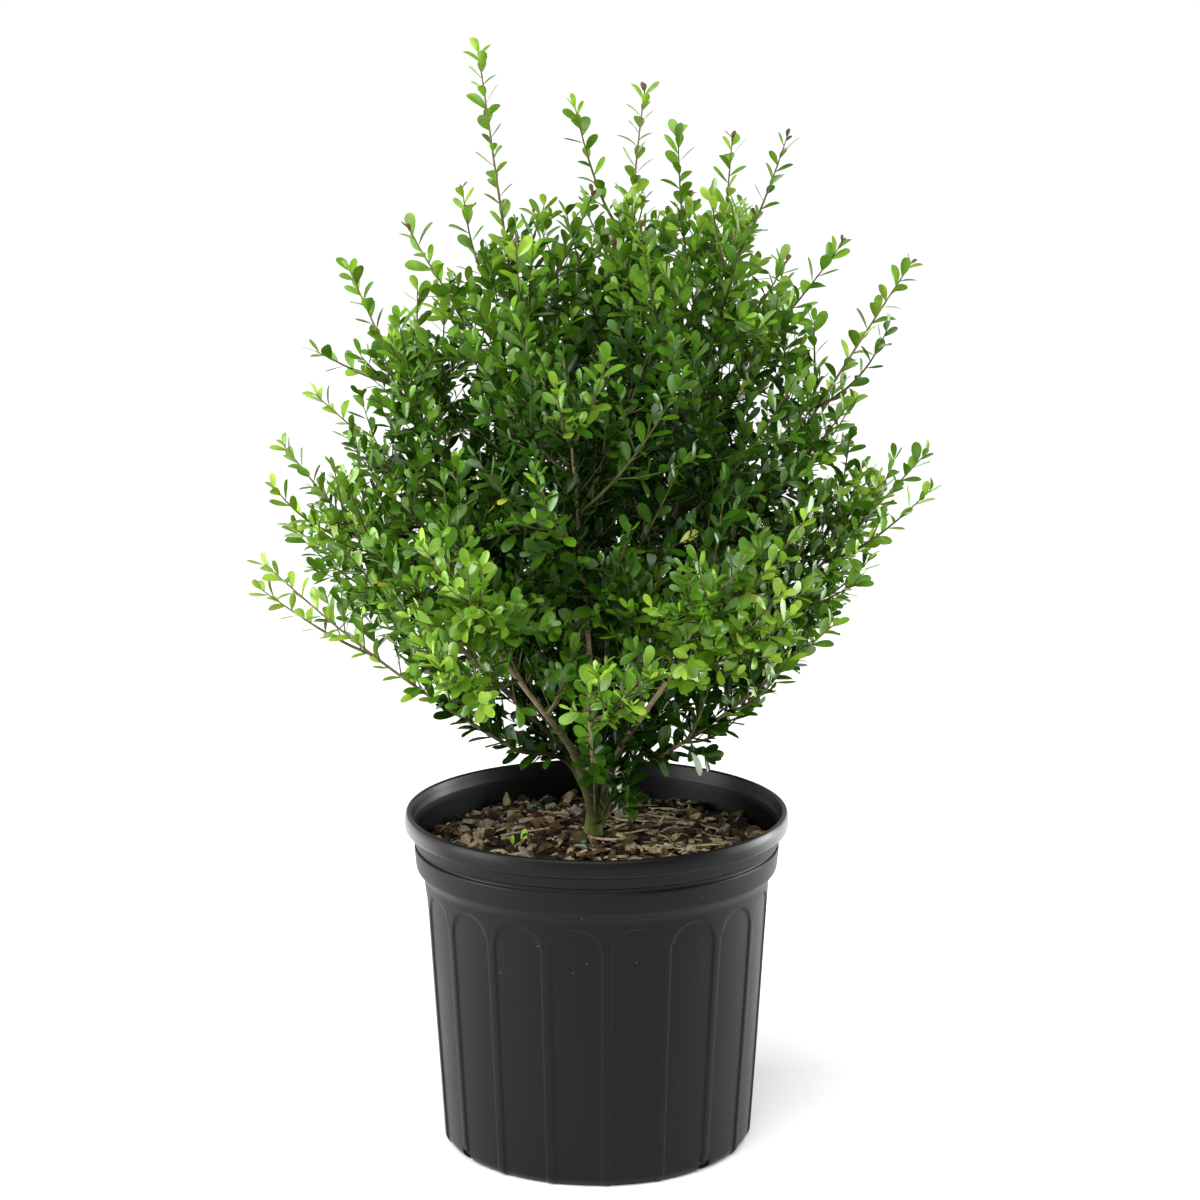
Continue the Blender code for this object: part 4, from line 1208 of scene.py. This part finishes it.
def bare_share(axis, usual):
    """The share of an axis that stays bare: the usual one, but more on the low front stems."""
    return BARE_STEMS.get(axis.mass, usual) if axis.base > STEM_BASE else usual


draw = random_source("sprays")
sprays = []
for axis in axes:
    growth = BACK_SPRAYS if axis.mass in BACK_MASSES else CROWN_SPRAYS
    sprays += grow_sprays(axis, draw, growth, bare_share(axis, growth.start))
for name in LIMBS:
    growth = BEHIND_SPRAYS if name in BEHIND_THE_FORK else BOUGH_SPRAYS
    if growth is BEHIND_SPRAYS or name not in BARE_BOUGHS:
        end = bough_length(name)
        line = wood_path(name, np.linspace(growth.start * end, end, BOUGH_KNOTS))
        sprays += grow_sprays(Axis(name, line, 0.0, 0.0), draw, growth, 0.0)
print(f"{len(sprays)} sprays")

# %% [markdown]
# A few sprigs come straight from the old wood near the fork, where the crown has its shade. Their
# leaves are large and dark: partly their own deep green, and partly painted shade. A seedling of
# some weed has come up in the mix, and is still pale.

# %% Sprigs on the old wood, and a seedling
Sprig = namedtuple("Sprig", "line grown shade")
SPRIG_LIFT = 0.25
SPRIG_TABLE = [  # each one's start, direction, length, leaf size and shade
    ((0.005, -0.006, 0.236), (0.50, -0.35, 1.0), 0.056, 1.35, 2.2),
    ((0.002, -0.007, 0.240), (0.30, -0.65, 0.8), 0.034, 1.35, 2.0),
    ((0.006, -0.006, 0.244), (0.75, -0.75, 0.5), 0.034, 1.35, 1.6),
    ((0.004, -0.008, 0.252), (0.35, -0.55, 1.0), 0.040, 1.35, 1.2),
    ((0.026, -0.004, 0.284), (0.70, -0.60, 0.2), 0.030, 1.25, 1.2),
    ((0.052, -0.008, 0.305), (0.75, -0.60, -0.4), 0.034, 1.25, 1.2),
    ((0.060, -0.010, 0.310), (0.60, -0.50, -0.7), 0.032, 1.20, 1.5),
    ((-0.022, 0.004, 0.290), (-0.60, -0.10, 0.1), 0.026, 1.15, 0.8),
    ((-0.060, 0.006, 0.318), (-0.80, -0.10, -0.1), 0.032, 1.15, 1.0),
    ((0.000, -0.006, 0.278), (0.25, -0.30, 1.0), 0.052, 1.15, 0.9),
    ((0.010, -0.008, 0.282), (0.45, -0.30, 1.0), 0.046, 1.15, 1.1),
    ((0.016, -0.004, 0.276), (0.80, -0.35, 0.8), 0.040, 1.20, 0.8),
    ((-0.006, -0.008, 0.292), (-0.15, -0.30, 1.0), 0.044, 1.10, 1.0),
    ((-0.020, 0.000, 0.300), (-0.45, 0.10, 0.9), 0.040, 1.15, 0.6),
    ((0.030, 0.002, 0.292), (0.60, 0.00, 0.9), 0.042, 1.15, 0.7),
    ((-0.056, -0.034, 0.2235), (0.25, -0.35, 1.0), 0.014, 1.00, 6.0),
    ((-0.056, -0.034, 0.2235), (-0.55, -0.15, 0.8), 0.012, 0.85, 6.0),
]
SPRIGS = [
    Sprig(bent_line(np.array(start), unit(np.array(way)), length, SPRIG_LIFT, SPRAY_SECTIONS),
          grown, shade) for start, way, length, grown, shade in SPRIG_TABLE
]

# %% [markdown]
# ## Leaves
#
# A leaf is widest past its middle, wedge-shaped at the foot and round at the tip. It is a closed
# lens of four-cornered rings along its length: the left edge, the upper midrib, the right edge and
# the lower midrib. All leaves of a colour are one mesh, worked out at once from their places,
# sizes and folds.

# %% The leaf's shape
LEAF_ROWS = np.array([0.15, 0.36, 0.58, 0.79, 0.93])
LEAF_FOOT_POWER, LEAF_TIP_POWER = 1.05, 0.55
LEAF_SLIMNESS, LEAF_THICKNESS = 0.47, 0.00045
Leaves = namedtuple("Leaves", "root along face length fold curl")


def leaf_half_width(t):
    """Half the width at share t of the length, as a share of its greatest: t^p (1-t)^q."""
    widest = LEAF_FOOT_POWER / (LEAF_FOOT_POWER + LEAF_TIP_POWER)
    top = widest**LEAF_FOOT_POWER * (1 - widest) ** LEAF_TIP_POWER
    return t**LEAF_FOOT_POWER * (1 - t) ** LEAF_TIP_POWER / top


def leaf_shape(leaves):
    """The shape of all these leaves. At share t, x = length * t. The edges stand out by the half
    width and rise by the fold, and the whole blade bends back by curl * t^2."""
    count, rows = len(leaves.root), len(LEAF_ROWS)
    length = leaves.length[:, None]
    half = leaf_half_width(LEAF_ROWS)[None] * length * LEAF_SLIMNESS / 2
    bend = -leaves.curl[:, None] * length * LEAF_ROWS[None] ** 2
    rise = half * leaves.fold[:, None]
    thick = LEAF_THICKNESS / 2 * np.ones_like(half)
    x = np.repeat(LEAF_ROWS[None] * length, 4, axis=1)
    y = np.stack([half, 0 * half, -half, 0 * half], axis=-1).reshape(count, -1)
    z = np.stack([bend + rise, bend + thick, bend + rise, bend - thick], -1).reshape(count, -1)
    ends = np.zeros((count, 2))
    x = np.hstack([x, ends + [[0.0, 1.0]] * length])
    y = np.hstack([y, ends])
    z = np.hstack([z, ends - [[0.0, 1.0]] * leaves.curl[:, None] * length])
    across = np.cross(leaves.face, leaves.along)
    points = (leaves.root[:, None] + x[..., None] * leaves.along[:, None]
              + y[..., None] * across[:, None] + z[..., None] * leaves.face[:, None])
    return points.reshape(-1, 3), closed_faces(rows, 4, count)


# %% Leaves along a twig
LEAF_LENGTH = (0.0120, 0.0188)
TWIG_LEAF_SPACING, AXIS_LEAF_SPACING = 0.0043, 0.0052
LEAF_GROWTH = ([0.40, 0.52, 0.64, 0.72], [1.0, 0.94, 1.10, 1.0])  # larger near the top
OPEN_ANGLE, TIP_ANGLE = 54, 34
BARE_FOOT, AXIS_BARE_FOOT = 0.10, 0.20
TIP_CROWD = 1.22  # above 1, leaves crowd towards the tip
LAST_LEAF, TIP_CLOSES = 0.995, 0.022  # as a share of the twig, and in metres from its end
LEAF_TURNS, LEAF_ANGLES, LEAF_LIFT = 15, 10, 0.18
FACE_ALONG, FACE_UP, FACE_STRAY = 0.75, 0.55, 0.33
FOLDS, CURLS = (0.20, 0.16), (0.06, 0.10)  # mean and spread
SPRAY_TIP_SIZE, AXIS_TIP_SIZE, FULL_SIZE_FROM = 0.58, 0.80, 0.014


def leaves_along(line, draw, spacing, start_share, grown=1.0, tip_size=SPRAY_TIP_SIZE):
    """Leaves up a twig, alternate and a golden angle apart. They open wide low down and close
    up round its tip, where they are smaller, and turn their upper sides towards the light."""
    ends = distances_along(line)
    total = ends[-1]
    count = max(2, int(total * (1 - start_share) / spacing))
    number = np.arange(count)
    share = np.clip(1 - (1 - start_share) * (number / count) ** TIP_CROWD, 0.0, LAST_LEAF)
    root = along_path(ends, line, share * total)
    section = np.clip(np.searchsorted(ends, share * total) - 1, 0, len(line) - 2)
    tangent = unit(np.diff(line, axis=0))[section]
    turn = draw.uniform(0, 360) + GOLDEN_ANGLE * number
    turn = turn + draw.uniform(-LEAF_TURNS, LEAF_TURNS, count)
    from_tip = (1 - share) * total
    opening = np.clip(from_tip / TIP_CLOSES, 0.0, 1.0)
    angle = TIP_ANGLE + (OPEN_ANGLE - TIP_ANGLE) * opening
    angle = angle + draw.uniform(-LEAF_ANGLES, LEAF_ANGLES, count)
    along = unit(off_axis(tangent, turn, angle) + LEAF_LIFT * UP)
    face = FACE_ALONG * tangent + FACE_UP * UP + draw.normal(0.0, FACE_STRAY, (count, 3))
    face = unit(face - along * (face * along).sum(axis=1, keepdims=True))
    size = (tip_size + (1 - tip_size) * np.clip(from_tip / FULL_SIZE_FROM, 0.0, 1.0)) * grown
    size *= np.interp(root[:, 2], *LEAF_GROWTH)
    length = draw.uniform(*LEAF_LENGTH, count) * size
    return Leaves(root, along, face, length, draw.normal(*FOLDS, count),
                  draw.normal(*CURLS, count))


# %% [markdown]
# The colour of a spray depends on its place. New growth at the crown's outside is yellow-green.
# Further in, where they get less light, the leaves are a deep green, and low down inside nearly
# black: partly their own darker green, and partly painted shade. Spots of painted light and painted
# shade lighten or darken some sprays more. Each spray is dealt a shade, and its youngest leaves may
# be one shade lighter. Now and then a single old leaf is yellow, and some of the topmost tips end
# in a few small bronze ones. A few limbs carry leaves straight on their wood, and two show their
# wood bare to the front.

# %% Shades dealt out by spray
# The darker greens stand partly for painted shade inside the crown.
SHADES = {
    "shade": (0.008, 0.028, 0.002),
    "deep": (0.016, 0.056, 0.003),
    "dark": (0.032, 0.096, 0.005),
    "mid": (0.055, 0.148, 0.007),
    "fresh": (0.090, 0.215, 0.011),
    "bright": (0.145, 0.295, 0.018),
    "lime": (0.235, 0.390, 0.032),
    "yellow": (0.420, 0.430, 0.050),
    "bronze": (0.120, 0.082, 0.032),
}
YELLOW, BRONZE = len(SHADES) - 2, len(SHADES) - 1
YELLOW_SHARE = 0.0014  # single old leaves
BRONZE_FROM, BRONZE_SHARE, BRONZE_LEAVES, BRONZE_SIZE = 0.64, 0.60, 2, 0.58
LEAF_GAINS = (0.80, 1.16)  # within a shade, from leaf to leaf
LEAF_ROUGHNESS, LEAF_SHINE, DULL_SHADES = 0.26, (0.16, 0.32), 2  # the first two shine less
# Limbs with leaves straight on the wood: from where to where along it, the leaves' spacing, size
# and shade.
LEAFY_BOUGHS = {
    "low_left": (0.034, 0.135, 0.0027, 1.15, 1.0),
    "low_front": (0.036, 0.132, 0.0040, 1.05, 1.7),
    "front_right": (0.022, 0.085, 0.0026, 1.25, 0.9),
    "right": (0.030, 0.095, 0.0032, 1.20, 0.8),
    "low_right": (0.040, 0.110, 0.0034, 1.25, 1.0),
}
SHOWN_WOOD = {"left": (0.052, 0.170), "front_left": (0.058, 0.150)}  # no leaves hang over it
SHOWN_GAP, SHOWN_DEPTH, SHOWN_SHARE, SHOWN_POINTS = 0.0062, 0.002, 0.88, 60
SHADE_LOW, SHADE_RISE = -0.1, 4.7  # a spray's shade inside, darkened partly as painted shade, and what it gains on the way out
SHADE_FROM, SHADE_POWER, SHADE_SPREAD = 0.35, 1.25, 0.65
LEAF_SPREAD, BOUGH_LEAF_SPREAD, YOUNG_GAIN, YOUNG_LEAVES = 0.40, 0.7, 0.9, (2, 6)
SPRIG_BARE_FOOT, LEAFY_KNOTS, RAGGED_UNDERSIDE = 0.25, 12, (-0.006, 0.002)
FLUSHES_AND_PAINTED_LIGHT = [  # spots of new growth and painted light, and with a gain below 0, spots of painted shade: place, reach and gain
    ((0.01, -0.16, 0.43), 0.075, 1.3), ((0.10, -0.14, 0.40), 0.070, 1.1),
    ((-0.21, -0.02, 0.43), 0.090, 1.0), ((0.21, -0.02, 0.47), 0.080, 1.1),
    ((-0.12, -0.06, 0.62), 0.090, 0.7), ((0.17, -0.02, 0.62), 0.080, 0.7),
    ((-0.11, -0.12, 0.42), 0.085, 1.2), ((0.00, -0.10, 0.40), 0.070, 0.8),
    ((0.02, -0.12, 0.51), 0.095, -2.0), ((-0.04, -0.12, 0.55), 0.090, -1.3),
    ((0.02, -0.14, 0.37), 0.060, 0.9), ((-0.13, -0.05, 0.39), 0.090, 0.8),
    ((0.02, -0.04, 0.69), 0.110, 0.7), ((0.12, -0.03, 0.68), 0.080, 0.5),
]


def spray_shade(place, draw):
    """The number of a spray's shade: higher near the crown's outside and top and in spots of new
    growth and painted light, lower inside the crown, partly as painted shade, and in spots of
    painted shade.
    """
    out = np.linalg.norm(place - FORK) / reach(place[None])[0]
    outer = np.clip((out - SHADE_FROM) / (1 - SHADE_FROM), 0.0, 1.0)
    shade = SHADE_LOW + SHADE_RISE * outer**SHADE_POWER
    for middle, size, gain in FLUSHES_AND_PAINTED_LIGHT:
        shade += gain * np.exp(-((np.linalg.norm(place - middle) / size) ** 2))
    return shade + draw.normal(0.0, SHADE_SPREAD)


def over_shown_wood(leaves):
    """Whether each leaf hangs in front of wood that shows, as seen from the front."""
    middle = leaves.root + leaves.along * leaves.length[:, None] / 2
    over = np.zeros(len(middle), bool)
    for name, (first, last) in SHOWN_WOOD.items():
        wood_line = wood_path(name, np.linspace(first, last, SHOWN_POINTS))
        gaps = seen_from_front(middle)[:, None] - seen_from_front(wood_line)
        gaps = np.linalg.norm(gaps[:, :, [0, 2]], axis=2)
        nearest = wood_line[gaps.argmin(axis=1)]
        in_front = middle[:, 1] < nearest[:, 1] + SHOWN_DEPTH
        over |= (gaps.min(axis=1) < SHOWN_GAP) & in_front
    return over


def grow_leaves(draw):
    """Every leaf of the crown, with the number of its shade."""
    grown, shades = [], []
    for axis in sprays + axes:
        leader = axis.base > SPRAY_TWIG_BASE
        if leader:
            leaves = leaves_along(axis.line, draw, AXIS_LEAF_SPACING,
                                  bare_share(axis, AXIS_BARE_FOOT), tip_size=AXIS_TIP_SIZE)
        else:
            leaves = leaves_along(axis.line, draw, TWIG_LEAF_SPACING, BARE_FOOT)
        count = len(leaves.root)
        tip = axis.line[-1]
        base = spray_shade(tip, draw)
        young = np.arange(count) < draw.integers(*YOUNG_LEAVES)
        each = base + YOUNG_GAIN * young + draw.normal(0.0, LEAF_SPREAD, count)
        each = np.clip(np.round(each), 0, YELLOW - 1)
        each[draw.uniform(0.0, 1.0, count) < YELLOW_SHARE] = YELLOW
        if leader and tip[2] > BRONZE_FROM and draw.uniform(0.0, 1.0) < BRONZE_SHARE:
            each[:BRONZE_LEAVES] = BRONZE
            leaves.length[:BRONZE_LEAVES] *= BRONZE_SIZE
        kept = leader | (above_underside(leaves.root) > draw.uniform(*RAGGED_UNDERSIDE, count))
        grown.append(Leaves(*(part[kept] for part in leaves)))
        shades.append(each[kept])
    on_wood = [(wood_path(name, np.linspace(first, last, LEAFY_KNOTS)), spacing, 0.0, size, shade,
                BOUGH_LEAF_SPREAD)
               for name, (first, last, spacing, size, shade) in LEAFY_BOUGHS.items()]
    on_wood += [(sprig.line, TWIG_LEAF_SPACING, SPRIG_BARE_FOOT, sprig.grown, sprig.shade,
                 LEAF_SPREAD) for sprig in SPRIGS]
    for line, spacing, start_share, size, shade, spread in on_wood:
        grown.append(leaves_along(line, draw, spacing, start_share, size))
        shades.append(np.round(draw.normal(shade, spread, len(grown[-1].root))))
    shades = np.clip(np.concatenate(shades), 0, BRONZE).astype(int)
    grown = Leaves(*(np.concatenate(parts) for parts in zip(*grown)))
    kept = ~over_shown_wood(grown) | (draw.uniform(0.0, 1.0, len(shades)) > SHOWN_SHARE)
    return Leaves(*(part[kept] for part in grown)), shades[kept]


leaves, shade_index = grow_leaves(random_source("leaves"))
print(f"{len(leaves.root)} leaves")
MASSES = ["foliage_" + name for name in LIMBS]
for number, (shade, tint) in enumerate(SHADES.items()):
    chosen = Leaves(*(part[shade_index == number] for part in leaves))
    finish = Finish(f"{shade} holly leaf", Roughness=LEAF_ROUGHNESS,
                    Specular_IOR_Level=LEAF_SHINE[number >= DULL_SHADES])
    patch = finish.noise(70.0, detail=2.0).between(0.3, 0.7)
    finish.tint(patch, *(tuple(np.array(tint) * gain) for gain in LEAF_GAINS))
    piece = mesh_piece(f"leaves_{shade}", leaf_shape(chosen), finish.material, sharp_over=70)
    dress(piece, "leaves", *MASSES)

# %% [markdown]
# ## Twigs
#
# The stems of the masses are still brown wood. The shoots on them are thinner and olive, and the
# sprays' own twigs are green. They are three meshes of plain tubes.

# %% Stems, shoots and spray twigs
STEM_SLENDER = 0.82
Twigs = namedtuple("Twigs", "axes knots sides bark")
TWIGS = {
    "stems": Twigs(
        [a._replace(base=STEM_SLENDER * a.base) for a in axes if a.base > STEM_BASE], 20, 8,
        ("young stem bark", (0.120, 0.095, 0.050), (0.260, 0.210, 0.120), 0.75)),
    "shoots": Twigs(
        [a for a in axes if a.base <= STEM_BASE], 12, 5,
        ("olive shoot bark", (0.058, 0.054, 0.018), (0.120, 0.114, 0.040), 0.6)),
    "spray_twigs": Twigs(
        sprays + [Axis(None, sprig.line, SPRAY_TWIG_BASE, SPRAY_TWIG_TIP) for sprig in SPRIGS],
        5, 3, ("green twig bark", (0.060, 0.070, 0.022), (0.110, 0.120, 0.036), 0.5)),
}


def twig_shape(twigs):
    """Tubes along the twigs' lines, each read at the same number of evenly spaced points."""
    lines = []
    for axis in twigs.axes:
        ends = distances_along(axis.line)
        lines.append(along_path(ends, axis.line, np.linspace(0.0, ends[-1], twigs.knots)))
    share = np.linspace(0.0, 1.0, twigs.knots)[None]
    bases, tips = np.array([(axis.base, axis.tip) for axis in twigs.axes]).T[..., None]
    return tubes(np.array(lines), bases * (1 - share) + tips * share, twigs.sides)


for name, twigs in TWIGS.items():
    dress(mesh_piece(name, twig_shape(twigs), bark_finish(*twigs.bark)), "bark", *MASSES)
